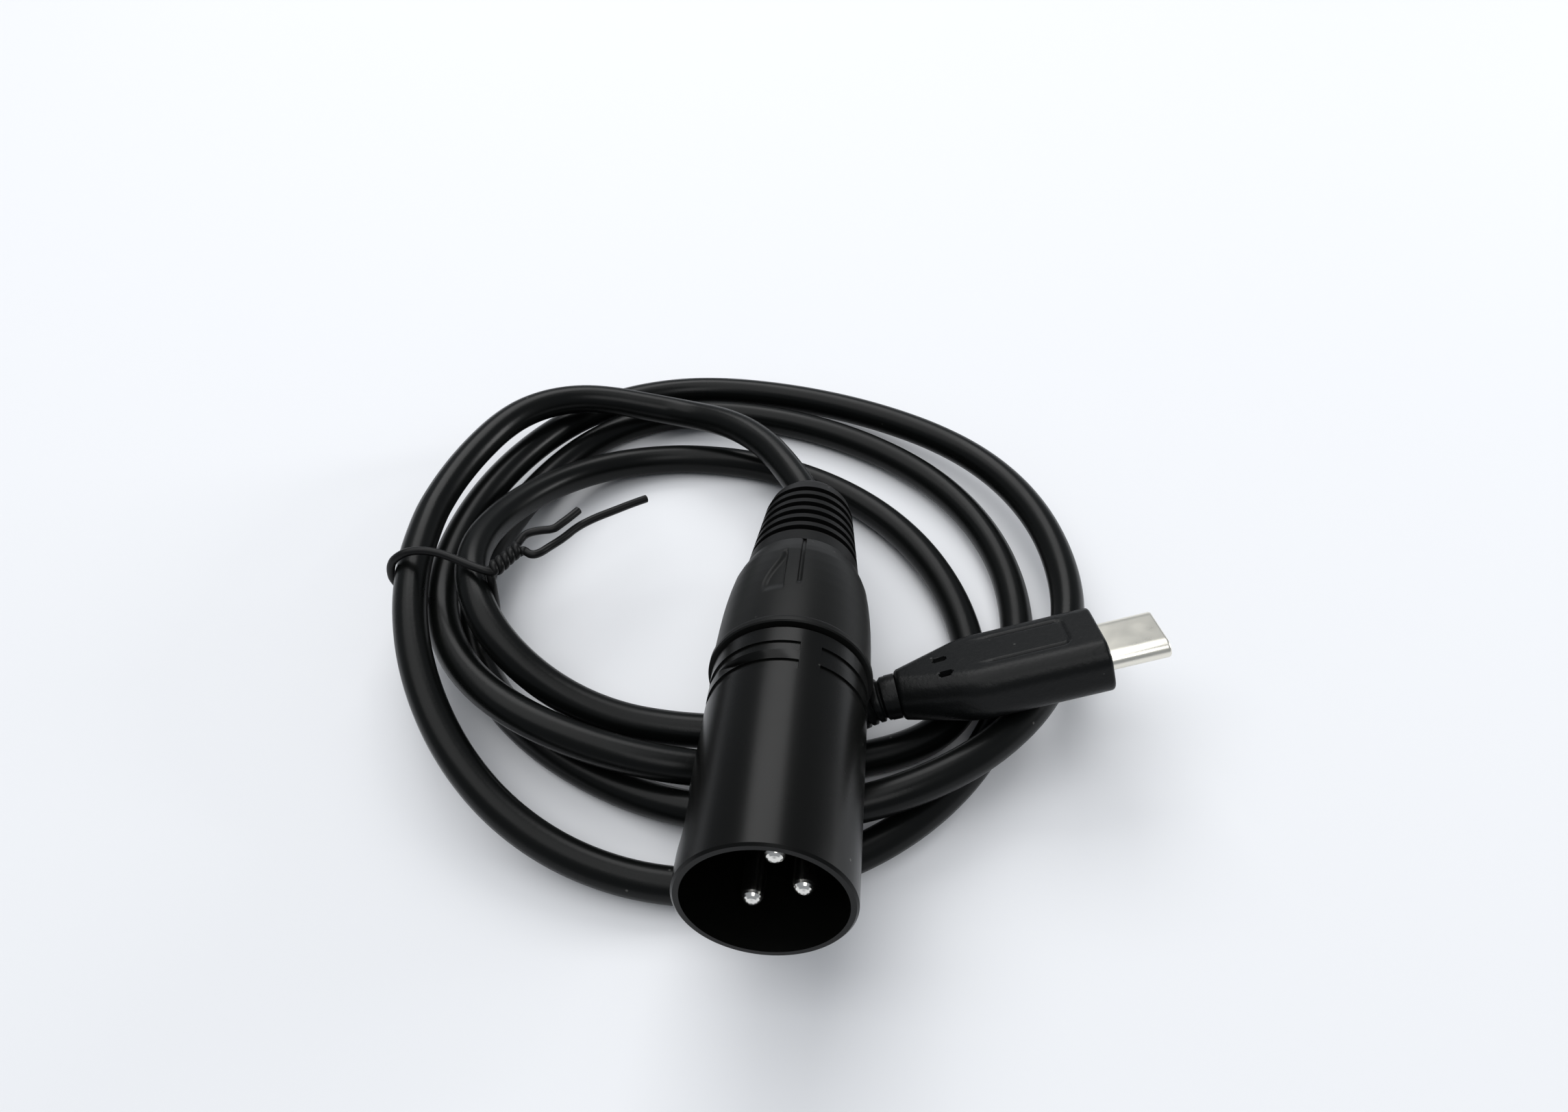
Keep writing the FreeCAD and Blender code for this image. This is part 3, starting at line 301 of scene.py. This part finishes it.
COIL_CENTRE = (-4.8, 4.5)
BACK, LEFT, FRONT, RIGHT = 180, 270, 0, 90
QUARTERS = [
    # side, how far out, how far along, lift off the table, swing of the heading, climb
    (BACK, 34.6, 18.5, 6.3, -4, 0.18),
    (LEFT, 41.0, -5.0, 9.6, -6, 0.04),
    (FRONT, 44.5, 0.0, 0.0, 2, 0.0),
    (RIGHT, 40.0, 0.0, 0.7, 4, 0.0),
    (BACK, 39.0, 2.0, 0.0, -6, 0.0),
    (LEFT, 35.0, -2.0, 1.4, -5, 0.05),
    (FRONT, 36.5, 4.0, 2.1, -9, 0.22),
    (RIGHT, 46.5, -1.5, 4.7, 0, 0.0),
    (BACK, 44.6, 1.0, 0.3, -6, 0.0),
    (LEFT, 38.5, -1.5, 5.2, -4, 0.03),
    (FRONT, 30.5, 2.0, 2.4, 7, -0.25),
    (RIGHT, 33.0, -12.0, 0.7, 1, 0.02),
    (BACK, 28.0, 6.0, 0.0, -2, 0.0),
    (LEFT, 33.5, -2.5, 8.5, -8, 0.29),
    (FRONT, 24.8, -6.0, 3.0, -3, -0.05),
]
STEPS_PER_ARC = 4


def quarter_point(side, out, ahead, lift, swing, climb):
    """Where the cable passes a side of the pile, and its heading there."""
    travel = math.radians(side)
    heading = math.radians(side + swing)
    point = Vector((COIL_CENTRE[0] + ahead * math.cos(travel) + out * math.sin(travel),
                    COIL_CENTRE[1] + ahead * math.sin(travel) - out * math.cos(travel),
                    CORD_DIAMETER / 2 + lift))
    return point, Vector((math.cos(heading), math.sin(heading), climb)).normalized()


def arc_points(start, corner, end):
    """Points along the arc that touches start-corner and corner-end, without its end."""
    come = (corner - start).normalized()
    leave = (end - corner).normalized()
    turn = come.angle(leave)
    radius = (corner - start).length / math.tan(turn / 2)
    inward = (leave - come * math.cos(turn)).normalized()
    points = []
    for step in range(STEPS_PER_ARC):
        angle = turn * step / STEPS_PER_ARC
        points.append(start + inward * radius * (1 - math.cos(angle)) + come * radius * math.sin(angle))
    return points


def coil_points():
    """The turns: two arcs that meet in one tangent between each two sides."""
    places = [quarter_point(*quarter) for quarter in QUARTERS]
    start, start_way = places[0]
    last, last_way = places[-1]
    points = [start - start_way * CORD_DIAMETER]
    for (here, way), (there, there_way) in zip(places, places[1:]):
        span = there - here
        square = 2 * (1 - way.dot(there_way))
        linear = 2 * span.dot(way + there_way)
        reach = (-linear + math.sqrt(linear ** 2 + 4 * square * span.dot(span))) / (2 * square)
        first = here + way * reach
        second = there - there_way * reach
        joint = (first + second) * 0.5
        points += arc_points(here, first, joint)
        points += arc_points(joint, second, there)
    points.append(last)
    points.append(last + last_way * CORD_DIAMETER)
    return points, start_way, last_way


CURVE_STEPS = 8
CURVE_ROUNDNESS = 6


def nurbs_curve(name, points, diameter):
    """A round cord on one smooth spline, whose control points are in millimetres."""
    line = bpy.data.curves.new(name, "CURVE")
    line.dimensions = "3D"
    line.bevel_depth = diameter / 2 * MM
    line.bevel_resolution = CURVE_ROUNDNESS
    line.resolution_u = CURVE_STEPS
    line.use_fill_caps = True
    spline = line.splines.new("NURBS")
    spline.points.add(len(points) - 1)
    for place, point in zip(spline.points, points):
        place.co = (*(point * MM), 1.0)
    spline.order_u = 3
    spline.use_endpoint_u = True
    spline.use_smooth = True
    cord = bpy.data.objects.new(name, line)
    bpy.context.collection.objects.link(cord)
    return cord


# Stations behind the barrel's rim and ahead of the moulding's face
CORD_START = 34.4
BEHIND_CHUCK = 58.2
BEHIND_BOOT = 65.5
CORD_END = -18.2
IN_COLLAR = -24.17
BEHIND_RELIEF = -28.57
# The free stretches between the connectors and the turns, as the CAD has them
FROM_BOOT = [(3.9, 21.4, 9.7), (0.4, 28.0, 9.0), (-5.0, 33.6, 8.2)]
TO_PLUG = [(5.2, -19.9, 3.7), (9.8, -18.9, 4.5)]
LEAD_IN = 6.5
LEAD_OUT = 5.0


def raised(place):
    return Vector(place) + Vector((0, 0, CORD_RAISE))


def add_cable():
    """The cable, from the clamp in the XLR connector to the plug."""
    turns, start_way, last_way = coil_points()
    points = [along_xlr(CORD_START), along_xlr(BEHIND_CHUCK), along_xlr(BEHIND_BOOT)]
    points += [raised(place) for place in FROM_BOOT]
    points.append(turns[0] - start_way * LEAD_IN)
    points += turns
    points.append(turns[-1] + last_way * LEAD_OUT)
    points += [raised(place) for place in TO_PLUG]
    points += [along_usb(BEHIND_RELIEF), along_usb(IN_COLLAR), along_usb(CORD_END)]
    cable = nurbs_curve("cable", points, CORD_DIAMETER)
    cable.data.materials.append(JACKET)
    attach(cable, CABLE_BODY)
    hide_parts("cable_coil", "cable_xlr_tail", "cable_usb_tail", "cable_usb_root")
    return cable


TIE_DIAMETER = 1.1
SHORT_TAIL = [
    (-24.5, 8.2, 14.9), (-25.5, 6.7, 15.0), (-26.5, 5.4, 15.1), (-27.3, 4.4, 15.1), (-29.3, 4.3, 15.0),
    (-30.9, 3.7, 15.0), (-31.5, 2.5, 14.9),
]
BAND = [
    (-35.3, -2.7, 14.9), (-37.7, -1.7, 15.1), (-40.9, -0.2, 15.3), (-43.7, 0.4, 15.4), (-46.1, 0.1, 15.3),
    (-48.4, -0.2, 13.4), (-48.8, -0.2, 9.0), (-41.4, -1.2, 1.0), (-36.6, -2.4, 1.1), (-34.9, -3.2, 7.0),
    (-34.4, -3.3, 12.8),
]
LONG_TAIL = [
    (-30.7, 1.2, 14.4), (-29.8, 0.6, 14.2), (-28.8, 1.0, 14.1), (-27.8, 2.4, 13.8), (-26.2, 4.2, 13.6),
    (-24.7, 6.5, 13.4), (-22.6, 8.6, 13.0), (-20.1, 10.7, 12.4), (-17.9, 12.7, 11.8), (-16.2, 14.0, 11.4),
]
NECK_FRONT = Vector((-34.4, -2.2, 14.3))
NECK_BACK = Vector((-31.4, 1.5, 14.6))
NECK_TURNS = 2.5
NECK_STEPS = 20
# How far each wire runs from the neck's middle, in its own diameters, and how that swells
NECK_REACH = 0.52
NECK_SWELL = 0.06
SWELL_RATE = 7


def neck_points(phase):
    """One of the two wires that are twisted together, from the band to the tails."""
    along = (NECK_BACK - NECK_FRONT).normalized()
    side = along.cross(Vector((0, 0, 1))).normalized()
    rise = side.cross(along)
    points = []
    for step in range(NECK_STEPS + 1):
        share = step / NECK_STEPS
        angle = phase + 2 * math.pi * NECK_TURNS * share
        reach = TIE_DIAMETER * (NECK_REACH + NECK_SWELL * math.sin(SWELL_RATE * share))
        middle = NECK_FRONT.lerp(NECK_BACK, share)
        points.append(middle + (side * math.cos(angle) + rise * math.sin(angle)) * reach)
    return points


def add_tie():
    """The wire tie: short tail, twisted neck, band round the turns, twisted neck again, long tail."""
    points = [Vector(point) for point in SHORT_TAIL] + neck_points(0.0)[::-1]
    points += [Vector(point) for point in BAND] + neck_points(math.pi)
    points += [Vector(point) for point in LONG_TAIL]
    tie = nurbs_curve("wire_tie", points, TIE_DIAMETER)
    tie.data.materials.append(TIE)
    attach(tie, CABLE_BODY)
    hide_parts("twist_tie")


PIN_CIRCLE = 3.8
CONDUCTORS = [("hot", 163.0, WIRE_RED), ("cold", -5.0, WIRE_WHITE), ("shield", -101.0, COPPER)]
CONDUCTOR_DIAMETER = 1.1
# Stations of the conductors: two at a cup, then two at the cable's end, where they lie close together
CUP_STATIONS = (25.9, 28.4)
GATHERED_STATIONS = (31.1, 32.1)
GATHERED = 0.214
PLUG_WIRES = (WIRE_RED, WIRE_WHITE, WIRE_GREEN, CHIP)
PLUG_WIRE_DIAMETER = 0.8
BOARD_STATIONS = (-15.4, -14.2)
BOARD_TOP = 0.83
BOARD_PITCH = 1.5
CABLE_STATIONS = (CORD_END, -17.5)
CABLE_PITCH = 0.9
OUTER_LIFT = 0.8
INNER_LIFT = 1.1


def add_wire(name, points, diameter, finish, node):
    wire = nurbs_curve(name, points, diameter)
    wire.data.materials.append(finish)
    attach(wire, CABLE_BODY)
    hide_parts(node)


def add_wires():
    """The wires from the cable's ends to the pins and to the board."""
    for label, turn, finish in CONDUCTORS:
        angle = math.radians(turn)
        left, up = PIN_CIRCLE * math.sin(angle), PIN_CIRCLE * math.cos(angle)
        points = [along_xlr(station, left, up) for station in CUP_STATIONS]
        points += [along_xlr(station, left * GATHERED, up * GATHERED) for station in GATHERED_STATIONS]
        add_wire(f"wire_to_pin_{label}", points, CONDUCTOR_DIAMETER, finish, f"conductor_{label}")
    middle = (len(PLUG_WIRES) - 1) / 2
    for number, finish in enumerate(PLUG_WIRES):
        side = number - middle
        lift = INNER_LIFT if abs(side) < 1 else OUTER_LIFT
        points = [along_usb(station, side * CABLE_PITCH, lift) for station in CABLE_STATIONS]
        points += [along_usb(station, side * BOARD_PITCH, BOARD_TOP) for station in BOARD_STATIONS]
        add_wire(f"wire_to_board_{number + 1}", points, PLUG_WIRE_DIAMETER, finish, f"usb_wire_{number + 1}")


# Pieces made from meshes

SHARP_ANGLE = 38
WELD = 0.0005


def new_piece(name, mesh, finish, body):
    """Link a bmesh in millimetres as a finished piece on a body."""
    bmesh.ops.scale(mesh, vec=(MM, MM, MM), verts=mesh.verts)
    data = bpy.data.meshes.new(name)
    mesh.to_mesh(data)
    mesh.free()
    data.shade_smooth()
    data.set_sharp_from_angle(angle=math.radians(SHARP_ANGLE))
    piece = bpy.data.objects.new(name, data)
    bpy.context.collection.objects.link(piece)
    data.materials.append(finish)
    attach(piece, body)
    return piece


def turned(profile, steps):
    """A closed body of revolution about Z from (radius, station) corners."""
    mesh = bmesh.new()
    corners = [mesh.verts.new((radius, 0, station)) for radius, station in profile]
    edges = [mesh.edges.new(pair) for pair in zip(corners, corners[1:] + corners[:1])]
    bmesh.ops.spin(mesh, geom=corners + edges, cent=(0, 0, 0), axis=(0, 0, 1), angle=2 * math.pi, steps=steps,
                   use_merge=True)
    bmesh.ops.remove_doubles(mesh, verts=mesh.verts, dist=WELD)
    bmesh.ops.recalc_face_normals(mesh, faces=mesh.faces)
    return mesh


def ease(value, low, high):
    """0 below low, 1 above high, and smooth between them."""
    share = min(max((value - low) / (high - low), 0.0), 1.0)
    return share * share * (3 - 2 * share)


NUT_OUTSIDE = [
    (9.45, 29.7), (9.6, 29.85), (9.6, 30.5), (9.52, 30.66), (9.3, 30.75), (9.3, 31.0), (9.28, 33.0),
    (9.22, 35.5), (9.12, 38.0), (8.98, 40.0), (8.78, 42.0), (8.5, 44.0), (8.15, 45.3), (7.85, 46.2),
    (7.6, 46.9), (7.5, 47.2), (7.42, 47.4),
]
NUT_BORE = 8.65
BORE_END = 37.4
BORE_MARGIN = 0.01
NUT_INSIDE = [(5.06, 47.4), (5.06, 43.2), (5.8, 43.2), (NUT_BORE, BORE_END), (NUT_BORE, 29.7)]
NUT_STEPS = 360
RING_STEP = 0.25
# Marks are cut only into the outside, behind the lip
MARKED_RADIUS = 7.4
LIP_END = 31.2
LINE_TURN = 1.8
LINE_EDGES = (0.12, 0.3)
LINE_START = (36.6, 37.6)
LINE_DEPTH = 0.28
FINGER_START = (35.4, 37.2)
FINGER_END = (43.2, 44.2)
FINGER_RIGHT = (1.7, 1.92)
FINGER_WIDTH = 4.6
FINGER_NARROWING = 2.0
FINGER_NARROWS = (37.0, 43.5)
FINGER_RUNOUT = 0.7
FINGER_DEPTH = 0.36


def filled_profile(profile):
    """The same outline with more corners on its long runs."""
    full = []
    for (radius, station), (next_radius, next_station) in zip(profile, profile[1:]):
        parts = max(1, round(math.hypot(next_radius - radius, next_station - station) / RING_STEP))
        for part in range(parts):
            share = part / parts
            full.append((radius + (next_radius - radius) * share,
                         station + (next_station - station) * share))
    return full + [profile[-1]]


def nut_mark_depth(away, station):
    """How deep the nut's marks are: away is the distance round from its line, to the left."""
    line = (1 - ease(abs(away), *LINE_EDGES)) * ease(station, *LINE_START) * LINE_DEPTH
    left_edge = FINGER_WIDTH - FINGER_NARROWING * ease(station, *FINGER_NARROWS)
    inside = ease(away, *FINGER_RIGHT) * (1 - ease(away, left_edge - FINGER_RUNOUT, left_edge))
    finger = inside * ease(station, *FINGER_START) * (1 - ease(station, *FINGER_END)) * FINGER_DEPTH
    return max(line, finger)


def add_nut():
    """The nut, with its line and shallow finger mark."""
    mesh = turned(filled_profile(NUT_OUTSIDE) + NUT_INSIDE, NUT_STEPS)
    for corner in mesh.verts:
        radius = math.hypot(corner.co.x, corner.co.y)
        in_bore = abs(radius - NUT_BORE) < BORE_MARGIN and corner.co.z < BORE_END + 10 * BORE_MARGIN
        if radius < MARKED_RADIUS or corner.co.z < LIP_END or in_bore:
            continue
        turn = math.atan2(corner.co.x, corner.co.y) + math.radians(LINE_TURN)
        depth = nut_mark_depth(turn * radius, corner.co.z)
        corner.co.x *= 1 - depth / radius
        corner.co.y *= 1 - depth / radius
    bmesh.ops.transform(mesh, matrix=XLR, verts=mesh.verts)
    piece = new_piece("nut", mesh, NUT, NUT_BODY)
    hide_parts("backshell_nut")


HALVINGS = 24


def rounded_box_point(angle, width, height, corner):
    """Where a ray from the middle meets the outline of a rectangle with round corners."""
    way = Vector((math.cos(angle), math.sin(angle)))
    low, high = 0.0, max(width, height)
    for _ in range(HALVINGS):
        reach = (low + high) / 2
        across = max(abs(way.x * reach) - (width / 2 - corner), 0)
        rise = max(abs(way.y * reach) - (height / 2 - corner), 0)
        if math.hypot(across, rise) < corner:
            low = reach
        else:
            high = reach
    return way * low


def lofted(sections, count, closed):
    """A skin over sections (width, height, corner, station), all of one number of points."""
    mesh = bmesh.new()
    loops = []
    for width, height, corner, station in sections:
        ring = bmesh.ops.create_circle(mesh, segments=count, radius=1.0)["verts"]
        for vert in ring:
            place = rounded_box_point(math.atan2(vert.co.y, vert.co.x), width, height, corner)
            vert.co = (place.x, place.y, station)
        loops.append(list({edge for vert in ring for edge in vert.link_edges}))
    for first, second in zip(loops, loops[1:]):
        bmesh.ops.bridge_loops(mesh, edges=first + second)
    if closed:
        bmesh.ops.bridge_loops(mesh, edges=loops[-1] + loops[0])
    else:
        bmesh.ops.holes_fill(mesh, edges=mesh.edges, sides=0)
    bmesh.ops.recalc_face_normals(mesh, faces=mesh.faces)
    return mesh


# Sections of the moulding: width, height and corner at its rear, at the taper's start and along its body
GRIP_LENGTH = 25.2
GRIP_REAR = (4.9, 4.7, 2.3)
GRIP_TAPER_START = (6.3, 6.1, 2.79)
GRIP_BODY = (11.5, 7.0, 2.6)
REAR_HOLE = (4.6, 4.6, 2.29)
REAR_HOLE_DEPTH = 2.0
REAR_ROUND = 0.7
REAR_CORNER_SHARE = 0.7
TAPER_CORNER_LESS = 0.2
FRONT_ROUND = 0.45
ROUND_STEPS = 4
MOUTH = (8.37, 2.52, 1.259)
MOUTH_DEPTH = 1.3
GRIP_TAPER = 8.2
TAPER_BLEND = 0.22
GRIP_RINGS = 130
GRIP_COUNT = 144
PANEL_MIDDLE = Vector((0.15, -10.2))
PANEL_HALF = Vector((2.45, 6.4))
PANEL_CORNER = 0.9
PANEL_LINE = (0.1, 0.24)
PANEL_DEPTH = 0.16
PANEL_FADE = (-16.0, -12.0)
SLOT_PLACES = (Vector((-2.4, -19.0)), Vector((0.6, -19.3)))
SLOT_HALF = 0.38
SLOT_EDGES = (0.3, 0.46)
SLOT_DEPTH = 1.2
MARKED_HEIGHT = 2.9
MARKED_FRONT = -0.5


def quarter_turn():
    """Sine and one less cosine at even steps from 0 to 90 degrees."""
    for step in range(ROUND_STEPS + 1):
        angle = math.pi / 2 * step / ROUND_STEPS
        yield math.sin(angle), 1 - math.cos(angle)


def grip_sections():
    """Rear hole, taper, body, rounded front edge and the mouth round the metal shell."""
    sections = [(*REAR_HOLE, -GRIP_LENGTH + REAR_HOLE_DEPTH), (*REAR_HOLE, -GRIP_LENGTH)]
    width, height, corner = GRIP_REAR
    for out, along in quarter_turn():
        grow = REAR_ROUND * out
        sections.append((width + 2 * grow, height + 2 * grow, corner + grow * REAR_CORNER_SHARE,
                         -GRIP_LENGTH + REAR_ROUND * along))
    start = -GRIP_LENGTH + REAR_ROUND
    for ring in range(1, GRIP_RINGS):
        station = start + (GRIP_LENGTH - REAR_ROUND - FRONT_ROUND) * ring / GRIP_RINGS
        share = (station - start) / GRIP_TAPER
        if share > 1 - TAPER_BLEND:
            share -= (min(share, 1 + TAPER_BLEND) - 1 + TAPER_BLEND) ** 2 / (4 * TAPER_BLEND)
        share = min(share, 1.0)
        width, height, corner = GRIP_TAPER_START
        sections.append((width + (GRIP_BODY[0] - width) * share, height + (GRIP_BODY[1] - height) * share,
                         corner - TAPER_CORNER_LESS * share, station))
    width, height, corner = GRIP_BODY
    for along, inward in quarter_turn():
        shrink = FRONT_ROUND * inward
        sections.append((width - 2 * shrink, height - 2 * shrink, corner - shrink,
                         -FRONT_ROUND + FRONT_ROUND * along))
    sections += [(*MOUTH, 0.0), (*MOUTH, -MOUTH_DEPTH)]
    return sections


def grip_mark_depth(place):
    """How deep the outline and the two small slots are in the moulding's top."""
    beyond_x = abs(place.x - PANEL_MIDDLE.x) - PANEL_HALF.x + PANEL_CORNER
    beyond_y = abs(place.y - PANEL_MIDDLE.y) - PANEL_HALF.y + PANEL_CORNER
    outer = math.hypot(max(beyond_x, 0), max(beyond_y, 0))
    inner = min(max(beyond_x, beyond_y), 0)
    away = abs(outer + inner - PANEL_CORNER)
    depth = (1 - ease(away, *PANEL_LINE)) * PANEL_DEPTH * ease(place.y, *PANEL_FADE)
    for slot in SLOT_PLACES:
        from_slot = place - slot
        from_slot.y = max(abs(from_slot.y) - SLOT_HALF, 0)
        depth = max(depth, (1 - ease(from_slot.length, *SLOT_EDGES)) * SLOT_DEPTH)
    return depth


def add_moulding():
    """The plug's moulding, with its outline and slots."""
    mesh = lofted(grip_sections(), GRIP_COUNT, False)
    for corner in mesh.verts:
        behind_front = -GRIP_LENGTH + REAR_HOLE_DEPTH < corner.co.z < MARKED_FRONT
        if corner.co.y > MARKED_HEIGHT and behind_front:
            corner.co.y -= grip_mark_depth(Vector((corner.co.x, corner.co.z)))
    bmesh.ops.transform(mesh, matrix=USB, verts=mesh.verts)
    piece = new_piece("plug_moulding", mesh, MOULDING, CABLE_BODY)
    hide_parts("usb_overmould")
    return piece


SHELL_OUTSIDE = (8.25, 2.4, 1.199)
SHELL_INSIDE = (7.75, 1.9, 0.949)
SHELL_REAR = -3.0
SHELL_ROUND_START = 6.9
SHELL_ROUND = 0.25
SHELL_ROUND_LENGTH = 0.3
SHELL_COUNT = 96


def add_plug_shell():
    """The plug's metal shell: a flat tube with a rounded front edge."""
    width, height, corner = SHELL_OUTSIDE
    sections = [(*SHELL_OUTSIDE, SHELL_REAR)]
    for along, inward in quarter_turn():
        shrink = SHELL_ROUND * inward
        sections.append((width - 2 * shrink, height - 2 * shrink, corner - shrink,
                         SHELL_ROUND_START + SHELL_ROUND_LENGTH * along))
    sections += [(*SHELL_INSIDE, SHELL_ROUND_START), (*SHELL_INSIDE, SHELL_REAR)]
    mesh = lofted(sections, SHELL_COUNT, True)
    bmesh.ops.transform(mesh, matrix=USB, verts=mesh.verts)
    piece = new_piece("plug_metal_shell", mesh, NICKEL, CABLE_BODY)
    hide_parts("usb_shell")
    return piece


LINE_STEPS = 32


def cable_line(cable):
    """Points along the cable's own spline, in millimetres."""
    line = cable.copy()
    line.data = cable.data.copy()
    line.data.bevel_depth = 0.0
    line.data.resolution_u = LINE_STEPS
    shape = bpy.data.meshes.new_from_object(line)
    points = [vert.co / MM for vert in shape.vertices]
    curve = line.data
    bpy.data.objects.remove(line)
    bpy.data.curves.remove(curve)
    bpy.data.meshes.remove(shape)
    return points


RELIEF_FRONT = -26.0
RELIEF_LENGTH = 5.4
RELIEF_PITCH = 1.2
RELIEF_RADIUS = 2.36
RELIEF_RISE = 0.36
RELIEF_RISES = (0.05, 0.2)
RELIEF_FALLS = (0.72, 0.9)
RELIEF_COUNT = 32


def add_relief(cable):
    """The ringed bend protection behind the collar, along the cable's own line."""
    start = along_usb(RELIEF_FRONT)
    forward = (USB @ Vector((0, 0, 1)) - USB @ Vector((0, 0, 0))).normalized()
    points = [point for point in cable_line(cable)[::-1] if (point - start).dot(forward) < 0]
    mesh = bmesh.new()
    loops = []
    run = 0.0
    last = points[0]
    for here, following in zip(points, points[1:]):
        run += (here - last).length
        last = here
        if run > RELIEF_LENGTH:
            break
        phase = run / RELIEF_PITCH % 1.0
        radius = RELIEF_RADIUS + RELIEF_RISE * ease(phase, *RELIEF_RISES) * (1 - ease(phase, *RELIEF_FALLS))
        turn = (following - here).to_track_quat("Z", "Y").to_matrix().to_4x4()
        ring = bmesh.ops.create_circle(mesh, segments=RELIEF_COUNT, radius=radius,
                                       matrix=Matrix.Translation(here) @ turn)["verts"]
        loops.append(list({edge for vert in ring for edge in vert.link_edges}))
    for first, second in zip(loops, loops[1:]):
        bmesh.ops.bridge_loops(mesh, edges=first + second)
    bmesh.ops.holes_fill(mesh, edges=mesh.edges, sides=0)
    bmesh.ops.recalc_face_normals(mesh, faces=mesh.faces)
    piece = new_piece("bend_protection", mesh, MOULDING, CABLE_BODY)
    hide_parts("usb_strain_relief")
    return piece


STRIPPED_START = 32.1
STRIPPED_LESS = 0.15
STRIPPED_COUNT = 32


def add_cable_root():
    """The stripped end of the cable inside the connector."""
    mesh = bmesh.new()
    length = CORD_START - STRIPPED_START
    bmesh.ops.create_cone(mesh, cap_ends=True, segments=STRIPPED_COUNT,
                          radius1=CORD_DIAMETER / 2 - STRIPPED_LESS, radius2=CORD_DIAMETER / 2, depth=length,
                          matrix=XLR @ Matrix.Translation((0, 0, STRIPPED_START + length / 2)))
    piece = new_piece("cable_stripped_end", mesh, JACKET, CABLE_BODY)
    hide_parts("cable_xlr_root")


# The stage, in metres

LAMPS = [
    # name, place, target, width, height, power
    ("window", (-0.05, 0.6, 0.60), (0, 0, 0), 0.5, 0.4, 2.6),
    ("ceiling", (-0.3, 0.1, 0.9), (0, 0, 0), 0.9, 0.9, 5.0),
    ("fill", (0.1, -0.5, 0.85), (0, 0, 0), 0.4, 0.4, 1.6),
    ("strip", (0.6, 0.15, 0.12), (0, 0, 0.02), 0.1, 0.3, 1.6),
]
FLOOR_SIZE = 6.0
FLOOR_COLOUR = (0.80, 0.81, 0.83, 1.0)
FLOOR_ROUGHNESS = 0.8
ROOM_COLOUR = (0.80, 0.85, 0.92, 1.0)
ROOM_STRENGTH = 0.35


def area_lamp(name, place, target, width, height, power):
    data = bpy.data.lights.new(name, "AREA")
    data.shape = "RECTANGLE"
    data.size = width
    data.size_y = height
    data.energy = power
    lamp = bpy.data.objects.new(name, data)
    lamp.location = place
    lamp.rotation_euler = (Vector(target) - Vector(place)).to_track_quat("-Z", "Y").to_euler()
    bpy.context.collection.objects.link(lamp)


def add_stage():
    """A pale floor, a soft even world and the lamps."""
    bpy.ops.mesh.primitive_plane_add(size=FLOOR_SIZE)
    floor = bpy.context.object
    floor.name = "floor"
    paint = bpy.data.materials.new("floor_paper")
    paint.use_nodes = True
    shader = paint.node_tree.nodes["Principled BSDF"]
    shader.inputs["Base Color"].default_value = FLOOR_COLOUR
    shader.inputs["Roughness"].default_value = FLOOR_ROUGHNESS
    floor.data.materials.append(paint)
    world = bpy.data.worlds.new("soft_room")
    bpy.context.scene.world = world
    world.use_nodes = True
    sky = world.node_tree.nodes["Background"]
    sky.inputs["Color"].default_value = ROOM_COLOUR
    sky.inputs["Strength"].default_value = ROOM_STRENGTH
    for lamp in LAMPS:
        area_lamp(*lamp)


add_camera()
dress_nodes()
cable = add_cable()
add_moulding()
add_plug_shell()
add_relief(cable)
add_nut()
add_tie()
add_wires()
add_cable_root()
add_stage()

scene = bpy.context.scene
scene.view_settings.view_transform = "Standard"
